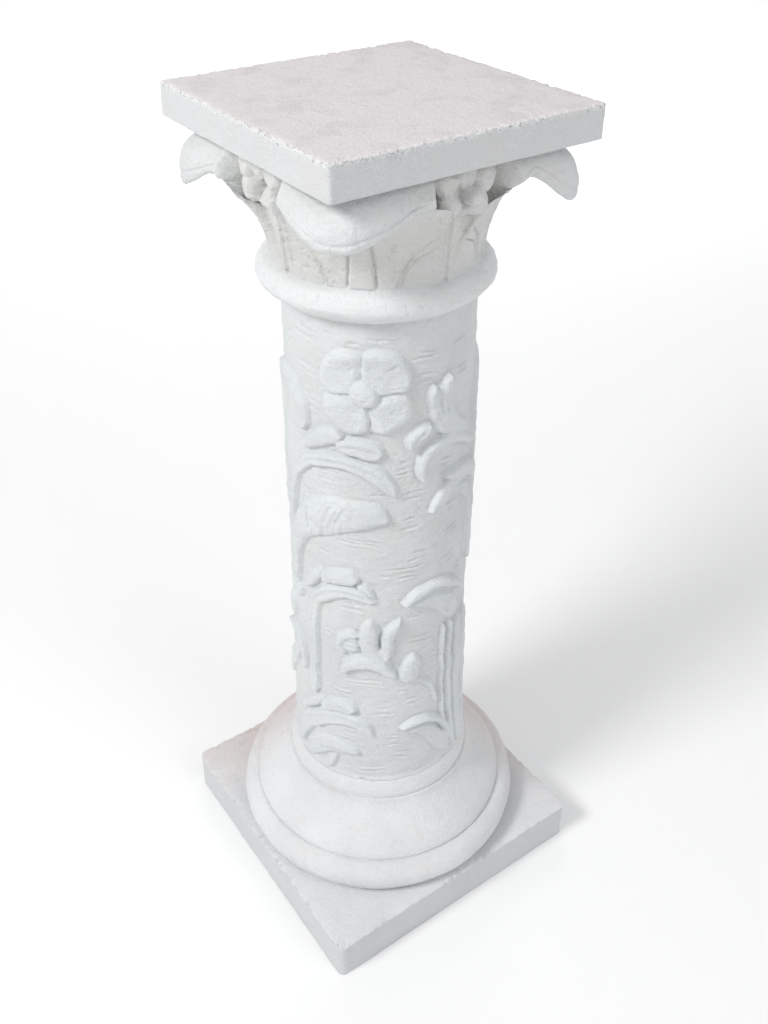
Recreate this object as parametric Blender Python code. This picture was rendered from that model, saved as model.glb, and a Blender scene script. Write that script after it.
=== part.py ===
"""Decorative column: a cast plaster pedestal in three castings. Metres, +Z up.

A base (square plinth with round mouldings) carries a carved shaft, and the shaft carries the capital: ring,
bell, four corner leaves, a flower under each side and the square top slab, all in one piece. The origin is
the centre of the plinth's underside, and the sides of plinth and slab run along X and Y.
"""

import math

import bmesh
import bpy
import numpy as np

# Base, from the floor up: plinth, torus, neck and collar
PLINTH_SIDE = 0.2890
PLINTH_HEIGHT = 0.0418
PLINTH_CORNER = 0.0070
PLINTH_ARRIS = 0.0015
TORUS_SETBACK = 0.0007
TORUS_HEIGHT = 0.0340
NECK_SETBACK = 0.0153
NECK_HEIGHT = 0.0440
COLLAR_HEIGHT = 0.0197
COLLAR_PROUD = 0.0023
COLLAR_SLOPE = 0.0052
COLLAR_STEP = 0.0022
COLLAR_FACE_SHARE = 0.60
COLLAR_SHOULDER_SHARE = 0.88

# Shaft
SHAFT_LENGTH = 0.5050
SHAFT_FOOT_RADIUS = 0.0843
SHAFT_TOP_RADIUS = 0.0815
RELIEF_HEIGHT = 0.0050

# Capital: ring, bell with its leaves and flowers, and slab. It stands a little off the shaft's axis, and
# its leaves are turned a little against its slab.
CAPITAL_OFFSET_X = -0.0024
CAPITAL_OFFSET_Y = 0.0017
RING_HEIGHT = 0.0290
RING_DEPTH = 0.0167
RING_SEAT = 0.0015
RING_DROOP = 4.0 / 3.0
RING_END_ANGLE = 62.0
BELL_PROUD = 0.0055
BELL_FLARE = 0.0210
BELL_FLARE_POWER = 1.3
LEAF_HEIGHT = 0.0984
LEAF_REACH = 0.0712
LEAF_TURN = 3.0
MIDRIB_WIDTH = 0.0200
MIDRIB_HEIGHT = 0.0015

# The blade flares slowly at first and then sharply into the lip: how sharply, and how much comes last
FLARE_POWER = 1.9
LAST_FLARE = 0.10
LAST_FLARE_POWER = 8.0

# Half angle of a leaf at the ring, at the top of its blade and on its lip, and the width of its edge
LEAF_FOOT_ANGLE = 44.0
LEAF_TOP_ANGLE = 35.0
LEAF_HALF_ANGLE = 27.0
LEAF_TAPER_POWER = 1.2
LEAF_EDGE_WIDTH = 4.5

# Leaf by leaf: the lip's drop, how far from the leaf's middle it keeps its full section, where it has lost it,
# and how far it lies to one side. The third leaf was cast shallower, and the fourth has a narrow lip.
LIP_DROP = 0.0515
LIP_DROP_SHARES = (1.0, 1.0, 0.80, 1.0)
HOOKED_LEAF = 3
LIP_FLAT_ANGLES = (1.0, 1.0, 1.0, 0.0)
LIP_HALF_ANGLES = (22.0, 20.0, 27.0, 15.0)
LIP_SKEWS = (0.0, 0.0, 3.0, 0.0)

# Side flowers, and slab
FLOWER_RADIUS = 0.0285
FLOWER_SETBACK = 0.0111
FLOWER_RISE = 0.0755
PETAL_DEPTH = 0.0110
BEAD_RADIUS = 0.0073
BEAD_PROUD = 0.35
SLAB_SIDE = 0.2452
SLAB_THICKNESS = 0.0275
SLAB_CORNER = 0.0030
SLAB_ARRIS = 0.0012

# Joints between the castings, and how far shapes of one casting run into each other
JOINT = 0.0003
OVERLAP = 0.0060

# How finely the surfaces are cut
ROUND_STEPS = 48
TORUS_STEPS = 9
NECK_STEPS = 7
RING_STEPS = 9
BLADE_ROWS = 20
LIP_STEPS = 2
SHAFT_COLUMNS = 240
SHAFT_ROWS = 200
SHAFT_TRIANGLES = 4400
CAPITAL_COLUMNS = 192
CAPITAL_TRIANGLES = 3200

# Sizes that follow from the others
BASE_HEIGHT = PLINTH_HEIGHT + TORUS_HEIGHT + NECK_HEIGHT + COLLAR_HEIGHT
SHAFT_FOOT = BASE_HEIGHT + JOINT
SHAFT_TOP = SHAFT_FOOT + SHAFT_LENGTH
CAPITAL_FOOT = SHAFT_TOP + JOINT
BELL_FOOT = CAPITAL_FOOT + RING_HEIGHT
SLAB_FOOT = BELL_FOOT + LEAF_HEIGHT
TORUS_RADIUS = PLINTH_SIDE / 2 - TORUS_SETBACK
COLLAR_TOP_RADIUS = SHAFT_FOOT_RADIUS + COLLAR_PROUD
COLLAR_RADIUS = COLLAR_TOP_RADIUS + COLLAR_SLOPE
BELL_RADIUS = SHAFT_TOP_RADIUS + BELL_PROUD
FLOWER_FRONT = SLAB_SIDE / 2 - FLOWER_SETBACK

# The carving is drawn on a sheet in millimetres: 505 up the shaft, and half a turn across. The sheet's
# middle faces -125 degrees in plan, and the second half turn repeats it, as the two halves of a mould do.
SHEET_LENGTH = 505.0
SHEET_MM_PER_DEGREE = 1.45
SHEET_MIDDLE = -125.25
SHEET_TURN = 180.0

# Each band is a leaf or stem: how high it stands as a share of the relief, how deep the groove along its
# middle is, and its middle line as (degrees across, millimetres up, half width in millimetres).
BANDS = (
    # upper arch that springs from the left and bends over to the right
    (1.0, 0.3, ((-64, 262, 4), (-64.5, 290, 4.5), (-62, 318, 5), (-58, 340, 5), (-53, 351, 5), (-46, 363, 6),
                (-37, 370, 6.5), (-28, 373, 6.5), (-18, 373, 6.5), (-10, 370, 7.5), (-2, 364, 8.5),
                (4, 355, 7),
                (8.5, 344, 3.5))),
    # two lobes that lie on the upper arch
    (1.0, 0.0, ((-50, 377, 3), (-42, 385, 6.5), (-34, 393, 8), (-27, 397, 7), (-22, 399, 3))),
    (1.2, 0.3, ((-24, 390, 5), (-15, 390, 9), (-5, 388, 9.5), (0, 386, 8))),
    # arching leaf of the plant on the left
    (0.9, 0.3, ((-50, 390, 1), (-47, 401, 5), (-49, 413, 7), (-54, 424, 7.5), (-61, 432, 7), (-70, 434, 6.5),
                (-81, 432, 6), (-92, 420, 6), (-98, 398, 6), (-99, 340, 6), (-99, 270, 6))),
    # long feathered tail
    (1.2, 0.0, ((5, 318, 3), (-1, 322, 10), (-8, 322, 14), (-15, 320, 16), (-25, 317, 18), (-35, 311, 19),
                (-45, 301, 17), (-53, 288, 13), (-57, 272, 9.5), (-60, 250, 7), (-61.5, 225, 5.5),
                (-62, 205, 4))),
    # bud with two points and its stem
    (1.0, 0.0, ((36, 428, 9), (38, 418, 12.5), (41, 407, 12.5), (46, 399, 11), (54, 391, 9), (62, 384, 6))),
    (1.2, 0.0, ((43, 447, 2.5), (42, 438, 6), (40, 424, 8))),
    (1.1, 0.0, ((32, 440, 2), (32.5, 434, 6), (35, 422, 8))),
    # small curled leaf and the scroll under the bud
    (1.3, 0.0, ((28, 406, 4), (24, 401, 7.5), (20, 394, 7), (20, 387, 3.5))),
    (1.3, 0.0, ((25, 356, 3.5), (25, 368, 5), (27, 378, 6), (33, 385, 7), (42, 387, 6.5), (52, 383, 6),
                (60, 377, 6), (68, 368, 5))),
    # leaf on the right, the arch under it and the leaf on its shoulder
    (1.0, 0.0, ((32, 318, 2), (37, 326, 4.5), (43, 335, 6), (51, 340, 6), (60, 339, 6), (70, 333, 6),
                (80, 322, 5))),
    (1.0, 0.3, ((38, 322, 1.5), (46, 328, 5), (54, 329, 6), (61, 322, 6.5), (67, 310, 6.5), (71, 290, 6.5),
                (72, 260, 6), (72, 235, 6))),
    (1.1, 0.0, ((40, 352, 2), (48, 348, 5), (58, 346, 7), (68, 340, 7), (78, 330, 6))),
    # lobes and the arch of the middle plant
    (1.0, 0.0, ((-48, 224, 2.5), (-44, 236, 5.5), (-40, 246, 6.5), (-37, 253, 5))),
    (1.2, 0.0, ((-35, 243, 4), (-30, 249, 8), (-22, 252, 9), (-14, 253, 8))),
    (0.9, 0.0, ((-12, 246, 4), (-6, 241, 4), (-2, 233, 1.5))),
    (1.0, 0.3, ((-45, 98, 5.5), (-44.5, 140, 6), (-45, 180, 6), (-43, 208, 6.5), (-37, 223, 7), (-29, 232, 7),
                (-20, 236, 6.5), (-11, 235, 6), (-5, 230, 3.5), (-1, 227.5, 1))),
    # broad leaf on the right of the middle plant, in two folds
    (1.3, 0.0, ((15, 224, 2.5), (22, 230, 5.5), (31, 236, 5.5), (40, 236, 5.5), (48, 231, 5.5), (55, 224, 5),
                (59, 214, 4))),
    (0.9, 0.0, ((18, 222, 1.5), (28, 221, 5), (36, 217, 8.5), (44, 210, 11), (50, 200, 12), (54, 188, 10))),
    # bundle of stems down to the foot
    (0.9, 0.0, ((44.5, 180, 2.5), (44.5, 130, 2.5), (45.5, 85, 2.5), (49, 45, 2.5), (54, 4, 2.5))),
    (1.0, 0.0, ((50.5, 180, 4.5), (50.5, 130, 4.5), (51.5, 85, 4.5), (55, 45, 4.5), (60, 4, 4.5))),
    (1.1, 0.0, ((59.5, 178, 7.5), (60, 130, 7.5), (61, 85, 7.5), (64, 45, 7), (69, 4, 7))),
    (0.9, 0.0, ((70.5, 176, 6), (71, 130, 6), (72, 85, 6), (75, 45, 6), (80, 4, 6.5))),
    # lily: two upright petals, the looped one, the broad lower one, the right lobe and the stem
    (1.1, 0.0, ((-4, 205, 4), (-5, 196, 7.5), (-6, 182, 8.5), (-4, 168, 8), (1, 156, 7), (6, 147, 5))),
    (1.2, 0.0, ((12.5, 206, 2), (8.5, 198, 5.5), (6.5, 186, 6.5), (5.5, 172, 5.5), (4.5, 162, 4))),
    (0.9, 0.0, ((-12, 187, 3.5), (-18, 187, 4.5), (-24, 180, 4.5), (-25.5, 170, 3.5), (-21, 163, 2.5))),
    (1.3, 0.0, ((-22.5, 140, 2.5), (-19, 149, 5.5), (-13, 155, 7.5), (-6, 157, 8), (1, 152, 7), (7, 145, 4.5),
                (11, 139, 2))),
    (1.2, 0.0, ((22, 158, 4), (21.5, 149, 8), (19, 140, 9.5), (16, 134, 7))),
    (0.6, 0.0, ((14, 131, 1.5), (22, 129, 2.5), (29, 125, 3), (34, 116, 3), (38, 104, 2.5), (42, 85, 1.5))),
    # lobes, the arch, the leaf and the stalk of the lowest plant on the left
    (1.0, 0.0, ((-58, 64, 2.5), (-50, 77, 6), (-43, 87, 6), (-39, 93, 4))),
    (1.2, 0.0, ((-38, 84, 4), (-32, 91, 7.5), (-24, 95, 8.5), (-16, 95, 8))),
    (1.0, 0.3, ((-64, 10, 6), (-58, 36, 9), (-50, 54, 9.5), (-41, 66, 9.5), (-32, 74, 9.5), (-23, 78, 9),
                (-14, 76, 8), (-8, 70, 5.5), (-3, 62, 2.5))),
    (1.1, 0.0, ((-53, 7, 6), (-47, 21, 8.5), (-39, 32, 8.5), (-30, 37, 7.5), (-20, 37, 5.5), (-12, 36, 2))),
    (0.7, 0.0, ((-28, 26, 3), (-32, 15, 4.5), (-37, 3, 5))),
    # lowest leaf on the right, in two folds
    (1.2, 0.0, ((15, 69, 2), (21, 74, 5), (29, 77, 5.5), (36, 73, 5.5), (43, 64, 5), (48, 52, 5),
                (53, 35, 4.5),
                (58, 14, 4))),
    (0.9, 0.0, ((17, 66, 1.5), (27, 62, 5), (34, 54, 7.5), (40, 42, 8), (46, 27, 8), (53, 10, 7))),
    # curl and broad leaf at the left
    (0.9, 0.0, ((-78, 152, 3.5), (-68, 153, 4), (-61, 147, 4.5), (-56, 136, 4.5), (-55, 123, 4),
                (-59, 115, 3))),
    (0.8, 0.0, ((-88, 70, 5), (-80, 95, 8), (-71, 118, 9), (-64, 131, 5))),
)

# Each mound is a rounded boss: its height as a share of the relief, its middle and its two half widths.
MOUNDS = (
    (1.0, (-60, 210), (9, 9)),
    (0.9, (-70, 182), (8, 16)),
    (0.8, (0, 166), (9, 8)),
    (0.55, (-18, 175), (9.5, 11)),
)

# Large flower on the same sheet: four petals round a bead, parted by creases at these angles in degrees.
# Rises are shares of the relief: of the petals, of what is left of them in a crease, and of the bead.
BLOOM_MIDDLE = (-8, 442)
BLOOM_RADIUS = 44.0
BLOOM_NOTCH = 0.85
BLOOM_CREASES = (2.0, 93.0, 185.0, 277.0)
BLOOM_CREASE_WIDTH = 6.0
BLOOM_RISE = 1.2
CREASE_RISE = 0.5
BEAD_RISE = 2.0
BEAD_HALF_WIDTH = 11.6

# The leaf's lip in section, from the blade over the hollow under the curl, round the tip and back up under
# the slab. Each point is a share of the reach beyond the bell and of the drop below the slab.
LIP_MIDDLE = (
    (0.500, 0.840), (0.600, 0.785), (0.735, 0.800), (0.850, 0.905), (0.925, 1.000), (0.980, 0.955),
    (1.000, 0.800), (0.985, 0.600), (0.900, 0.330), (0.700, 0.130), (0.460, -0.020), (0.300, -0.110),
)
LIP_END = (
    (0.440, 0.680), (0.470, 0.600), (0.500, 0.560), (0.530, 0.540), (0.555, 0.530), (0.572, 0.490),
    (0.570, 0.420), (0.550, 0.330), (0.505, 0.220), (0.430, 0.090), (0.360, -0.020), (0.300, -0.110),
)

# The same for the leaf on the right, whose lip is a narrow hook over a deep hollow
HOOK_MIDDLE = (
    (0.330, 0.640), (0.480, 0.570), (0.640, 0.610), (0.790, 0.800), (0.910, 1.000), (0.980, 0.960),
    (1.000, 0.800), (0.985, 0.600), (0.900, 0.330), (0.700, 0.130), (0.460, -0.020), (0.300, -0.110),
)
HOOK_END = (
    (0.350, 0.640), (0.400, 0.570), (0.450, 0.510), (0.500, 0.460), (0.535, 0.425), (0.555, 0.370),
    (0.555, 0.300), (0.535, 0.220), (0.490, 0.140), (0.420, 0.050), (0.360, -0.030), (0.300, -0.110),
)

# The petals of a side flower: middle across and up, and radius, as shares of the flower's radius
PETALS = (
    (-0.70, 0.36, 0.42), (0.60, 0.30, 0.43), (0.39, -0.32, 0.37), (-0.60, -0.26, 0.41), (-0.10, 0.46, 0.38),
)


def smooth(share):
    """A soft step from 0 to 1."""
    share = np.clip(share, 0.0, 1.0)
    return share * share * (3.0 - 2.0 * share)


def curve_through(points, steps):
    """A Catmull-Rom curve through the points, with this many steps between each two."""
    points = np.array(points, float)
    points = np.vstack([2 * points[0] - points[1], points, 2 * points[-1] - points[-2]])
    neighbours = (points[:-3], points[1:-2], points[2:-1], points[3:])
    before, here, there, after = (rows[:, None, :] for rows in neighbours)
    share = (np.arange(steps) / steps)[None, :, None]
    curve = 0.5 * (
        2 * here
        + (there - before) * share
        + (2 * before - 5 * here + 4 * there - after) * share**2
        + (3 * here - before - 3 * there + after) * share**3
    )
    return np.vstack([curve.reshape(-1, points.shape[1]), points[-2]])


def sheet_offset(across, middle):
    """Degrees from a middle line of the sheet, which repeats every half turn."""
    return (across - middle + SHEET_TURN / 2) % SHEET_TURN - SHEET_TURN / 2


def carve_band(depth, across, up, band):
    """Raise a band: a cushion across its half width, with a groove along its middle, along a curved line."""
    rise, groove, line = band
    line = curve_through(line, 6)
    middle = 0.5 * (line[:, 0].min() + line[:, 0].max())
    offset = sheet_offset(across, middle)
    line_x = (line[:, 0] - middle) * SHEET_MM_PER_DEGREE
    margin = line[:, 2].max()
    near = (np.abs(offset * SHEET_MM_PER_DEGREE) < np.abs(line_x).max() + margin)
    near &= (up > line[:, 1].min() - margin) & (up < line[:, 1].max() + margin)
    x = offset[near][:, None] * SHEET_MM_PER_DEGREE
    y = up[near][:, None]
    step_x, step_y = np.diff(line_x), np.diff(line[:, 1])
    along = ((x - line_x[:-1]) * step_x + (y - line[:-1, 1]) * step_y) / (step_x**2 + step_y**2)
    along = np.clip(along, 0.0, 1.0)
    away = np.hypot(x - line_x[:-1] - along * step_x, y - line[:-1, 1] - along * step_y)
    width = np.maximum(line[:-1, 2] + along * np.diff(line[:, 2]), 0.5)
    share = (away / width).min(axis=1)
    cushion = np.sqrt(np.clip(1.0 - share**3, 0.0, 1.0)) - groove * np.clip(1.0 - share / 0.3, 0.0, 1.0)
    depth[near] = np.maximum(depth[near], rise * cushion)


def carve_mound(depth, across, up, rise, middle, half_widths):
    """Raise a mound: a quarter-round rim on an oval, nearly flat in its middle."""
    x = sheet_offset(across, middle[0]) * SHEET_MM_PER_DEGREE / half_widths[0]
    y = (up - middle[1]) / half_widths[1]
    share = np.hypot(x, y)
    dome = np.sqrt(np.clip(1.0 - share**4, 0.0, 1.0))
    np.maximum(depth, rise * dome, out=depth)


def carve_bloom(depth, across, up):
    """Raise the large flower: the rim is drawn in at the four creases, and the petals sink towards them."""
    x = sheet_offset(across, BLOOM_MIDDLE[0]) * SHEET_MM_PER_DEGREE
    y = up - BLOOM_MIDDLE[1]
    away = np.hypot(x, y)
    turn = np.degrees(np.arctan2(y, x))
    off_crease = np.min([np.abs((turn - crease + 180.0) % 360.0 - 180.0) for crease in BLOOM_CREASES], axis=0)
    off_crease = np.radians(np.minimum(off_crease, 45.0))
    rim = BLOOM_RADIUS * (BLOOM_NOTCH + (1.0 - BLOOM_NOTCH) * np.sin(2.0 * off_crease) ** 0.5)
    petal = np.sqrt(np.clip(1.0 - (away / rim) ** 5, 0.0, 1.0))
    crease = smooth(off_crease * away / BLOOM_CREASE_WIDTH)
    np.maximum(depth, BLOOM_RISE * petal * (CREASE_RISE + (1.0 - CREASE_RISE) * crease), out=depth)
    carve_mound(depth, across, up, BEAD_RISE, BLOOM_MIDDLE, (BEAD_HALF_WIDTH, BEAD_HALF_WIDTH))


def carving(angle, share):
    """How far the carving stands proud at an angle in degrees and a share of the shaft's length."""
    across, up = np.broadcast_arrays(sheet_offset(angle, SHEET_MIDDLE), share * SHEET_LENGTH)
    depth = np.zeros(across.shape)
    for band in BANDS:
        carve_band(depth, across, up, band)
    for rise, middle, half_widths in MOUNDS:
        carve_mound(depth, across, up, rise, middle, half_widths)
    carve_bloom(depth, across, up)
    return RELIEF_HEIGHT * depth


def material(name, colour, roughness):
    """Painted plaster in one colour."""
    made = bpy.data.materials.new(name)
    made.use_nodes = True
    shader = made.node_tree.nodes["Principled BSDF"]
    shader.inputs["Base Color"].default_value = (*colour, 1.0)
    shader.inputs["Roughness"].default_value = roughness
    shader.inputs["Metallic"].default_value = 0.0
    return made


def new_object(name, mesh, finish=None):
    """Put a mesh in the scene, with its finish."""
    made = bpy.data.objects.new(name, mesh)
    bpy.context.scene.collection.objects.link(made)
    if finish:
        mesh.materials.append(finish)
    return made


def closed_grid(name, rows):
    """A closed skin over rings of points, from the lowest ring up, with a point in the middle of each end."""
    count, columns = rows.shape[:2]
    low = rows[0].mean(axis=0)
    high = rows[-1].mean(axis=0)
    points = np.vstack([rows.reshape(-1, 3), low, high])
    here = np.arange(columns)
    there = np.roll(here, -1)
    starts = (np.arange(count - 1) * columns)[:, None]
    quads = np.stack(
        [starts + here, starts + there, starts + columns + there, starts + columns + here], axis=-1
    ).reshape(-1, 4)
    last = (count - 1) * columns
    under = np.stack([there, here, np.full(columns, count * columns)], axis=-1)
    over = np.stack([last + here, last + there, np.full(columns, count * columns + 1)], axis=-1)
    mesh = bpy.data.meshes.new(name)
    mesh.from_pydata(points.tolist(), [], quads.tolist() + under.tolist() + over.tolist())
    mesh.shade_smooth()
    return mesh


def ring_points(radius, angle, height):
    """Points round the axis: radius and height may differ for each angle in degrees."""
    turn = np.radians(angle)
    return np.stack([radius * np.cos(turn), radius * np.sin(turn), height + 0.0 * turn], axis=-1)


def thin_to(made, triangles):
    """Thin a fine skin to about this many triangles, keeping the carving's edges."""
    full = sum(len(face.vertices) - 2 for face in made.data.polygons)
    thin = made.modifiers.new("thin", "DECIMATE")
    thin.ratio = min(1.0, triangles / full)


def union(made, other):
    """Join another shape to this one. The other stays as a guide only."""
    other.hide_render = True
    other.display_type = "WIRE"
    join = made.modifiers.new("join", "BOOLEAN")
    join.operation = "UNION"
    join.object = other


def slab_mesh(name, side, low, high, corner, arris):
    """A square slab with rounded upright corners and soft arrises all round."""
    shape = bmesh.new()
    bmesh.ops.create_cube(shape, size=1.0)
    bmesh.ops.scale(shape, vec=(side, side, high - low), verts=shape.verts)
    bmesh.ops.translate(shape, vec=(0.0, 0.0, 0.5 * (low + high)), verts=shape.verts)
    thick = high - low
    upright = [edge for edge in shape.edges if abs(edge.verts[0].co.z - edge.verts[1].co.z) > 0.5 * thick]
    bmesh.ops.bevel(shape, geom=upright, offset=corner, segments=3, affect="EDGES", profile=0.5)
    level = [edge for edge in shape.edges if abs(edge.verts[0].co.z - edge.verts[1].co.z) < 0.1 * thick]
    bmesh.ops.bevel(shape, geom=level, offset=arris, segments=1, affect="EDGES", profile=0.5)
    mesh = bpy.data.meshes.new(name)
    shape.to_mesh(mesh)
    shape.free()
    return mesh


def arc(middle, half_width, half_height, start, end, steps):
    """Points along an oval arc from a start to an end angle in degrees, as (radius, height)."""
    turn = np.radians(np.linspace(start, end, steps))
    return np.stack([middle[0] + half_width * np.cos(turn), middle[1] + half_height * np.sin(turn)], axis=-1)


def base_profile():
    """The turned mouldings from the plinth up: torus, neck that sweeps from bulging to hollow, and collar."""
    half_torus = TORUS_HEIGHT / 2
    torus_middle = (TORUS_RADIUS - half_torus, PLINTH_HEIGHT + half_torus)
    torus = arc(torus_middle, half_torus, half_torus, -80, 88, TORUS_STEPS)
    torus[0, 1] = PLINTH_HEIGHT - OVERLAP
    neck_foot = PLINTH_HEIGHT + TORUS_HEIGHT
    collar_foot = neck_foot + NECK_HEIGHT
    share = np.linspace(0.0, 1.0, NECK_STEPS)
    neck_foot_radius = TORUS_RADIUS - NECK_SETBACK
    neck_top_radius = COLLAR_RADIUS + COLLAR_STEP
    neck_radius = neck_foot_radius + (neck_top_radius - neck_foot_radius) * smooth(share)
    neck = np.stack([neck_radius, neck_foot + NECK_HEIGHT * share], axis=-1)
    face_radius = 0.5 * (COLLAR_RADIUS + COLLAR_TOP_RADIUS + COLLAR_STEP)
    collar = np.array(
        [
            (COLLAR_RADIUS, collar_foot + 0.5 * COLLAR_STEP),
            (face_radius, collar_foot + COLLAR_FACE_SHARE * COLLAR_HEIGHT),
            (COLLAR_TOP_RADIUS + 0.5 * COLLAR_STEP, collar_foot + COLLAR_SHOULDER_SHARE * COLLAR_HEIGHT),
            (COLLAR_TOP_RADIUS - COLLAR_STEP, BASE_HEIGHT),
        ]
    )
    return np.vstack([torus, neck, collar])


def make_base(finish):
    """Square plinth with the turned mouldings joined to it."""
    plinth = slab_mesh("base", PLINTH_SIDE, 0.0, PLINTH_HEIGHT, PLINTH_CORNER, PLINTH_ARRIS)
    base = new_object("base", plinth, finish)
    profile = base_profile()
    shape = bmesh.new()
    line = [shape.verts.new((0.0, 0.0, profile[0, 1]))]
    line += [shape.verts.new((radius, 0.0, height)) for radius, height in profile]
    line.append(shape.verts.new((0.0, 0.0, profile[-1, 1])))
    edges = [shape.edges.new(pair) for pair in zip(line, line[1:])]
    bmesh.ops.spin(
        shape, geom=line + edges, cent=(0, 0, 0), axis=(0, 0, 1), angle=2 * math.pi, steps=ROUND_STEPS
    )
    bmesh.ops.remove_doubles(shape, verts=shape.verts, dist=1e-5)
    bmesh.ops.recalc_face_normals(shape, faces=shape.faces)
    mesh = bpy.data.meshes.new("mouldings")
    shape.to_mesh(mesh)
    shape.free()
    union(base, new_object("mouldings", mesh))
    return base


def make_shaft(finish):
    """Slightly tapered round shaft, with the carving raised on it."""
    angle = np.linspace(0.0, 360.0, SHAFT_COLUMNS, endpoint=False)[None, :]
    share = np.linspace(0.0, 1.0, SHAFT_ROWS)[:, None]
    radius = SHAFT_FOOT_RADIUS + (SHAFT_TOP_RADIUS - SHAFT_FOOT_RADIUS) * share + carving(angle, share)
    angle = angle + 0.0 * share
    rows = ring_points(radius, angle, SHAFT_FOOT + SHAFT_LENGTH * share)
    shaft = new_object("shaft", closed_grid("shaft", rows), finish)
    thin_to(shaft, SHAFT_TRIANGLES)
    return shaft


def lip_points(section):
    """A lip's section as a fine curve, with room for the angles."""
    return curve_through(section, LIP_STEPS)[:, None, :]


def leaf_sections(angle):
    """The lip's section at each angle: full near each leaf's middle, and shallow near its ends."""
    leaf = (angle // 90.0).astype(int) % 4
    hooked = (leaf == HOOKED_LEAF)[None, :, None]
    middle = np.where(hooked, lip_points(HOOK_MIDDLE), lip_points(LIP_MIDDLE))
    end = np.where(hooked, lip_points(HOOK_END), lip_points(LIP_END))
    off_leaf = angle % 90.0 - 45.0
    flat, half = np.array(LIP_FLAT_ANGLES)[leaf], np.array(LIP_HALF_ANGLES)[leaf]
    past_flat = np.abs(off_leaf) + np.array(LIP_SKEWS)[leaf] * np.sign(off_leaf) - flat
    full = 1.0 - smooth(past_flat / (half - flat))
    drop = LIP_DROP * np.array(LIP_DROP_SHARES)[leaf]
    section = end + (middle - end) * full[None, :, None]
    radius = BELL_RADIUS + LEAF_REACH * section[:, :, 0]
    height = SLAB_FOOT - drop * section[:, :, 1]
    return radius, height


def blade_sections(top_radius, top_height):
    """The blade from the ring up to the lip, flaring ever more as it rises."""
    share = np.linspace(0.0, 1.0, BLADE_ROWS, endpoint=False)[:, None]
    flare = (1.0 - LAST_FLARE) * share**FLARE_POWER + LAST_FLARE * share**LAST_FLARE_POWER
    radius = BELL_RADIUS + (top_radius - BELL_RADIUS)[None, :] * flare
    height = BELL_FOOT + (top_height - BELL_FOOT)[None, :] * share
    return radius, height


def flower_front(side_offset, height):
    """Radius at which a flower's front lies: domed petals round a bead, on the flat of the side."""
    turn = np.radians(side_offset)
    up = (height - BELL_FOOT - FLOWER_RISE) / FLOWER_RADIUS
    bead = BEAD_RADIUS / FLOWER_RADIUS
    radius = np.full(np.broadcast(turn, height).shape, FLOWER_FRONT)
    for _ in range(4):
        across = radius * np.sin(turn) / FLOWER_RADIUS
        front = np.zeros_like(radius)
        for petal_across, petal_up, petal in PETALS:
            share = np.hypot(across - petal_across, up - petal_up) / petal
            dome = FLOWER_FRONT - PETAL_DEPTH * (1.0 - np.sqrt(np.clip(1.0 - share**2, 0.0, 1.0)))
            front = np.maximum(front, np.where(share < 1.0, dome, 0.0))
        share = np.hypot(across, up) / bead
        dome = FLOWER_FRONT + BEAD_RADIUS * (BEAD_PROUD + np.sqrt(np.clip(1.0 - share**2, 0.0, 1.0)))
        front = np.maximum(front, np.where(share < 1.0, dome, 0.0))
        radius = np.where(front > 0.0, front / np.cos(turn), radius)
    return np.where(front > 0.0, radius, 0.0)


def ring_profile():
    """The ring under the bell, in section: a half round whose lower half droops towards the shaft."""
    steps = np.linspace(-90.0, RING_END_ANGLE, RING_STEPS)
    out, up = np.cos(np.radians(steps)), np.sin(np.radians(steps))
    out = np.where(up < 0.0, np.clip(out, 0.0, None) ** RING_DROOP, out)
    up = np.where(up < 0.0, -(np.abs(up) ** RING_DROOP), up)
    ring_middle = (SHAFT_TOP_RADIUS + RING_SEAT, CAPITAL_FOOT + RING_HEIGHT / 2)
    return np.stack([ring_middle[0] + RING_DEPTH * out, ring_middle[1] + RING_HEIGHT / 2 * up], axis=-1)


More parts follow.
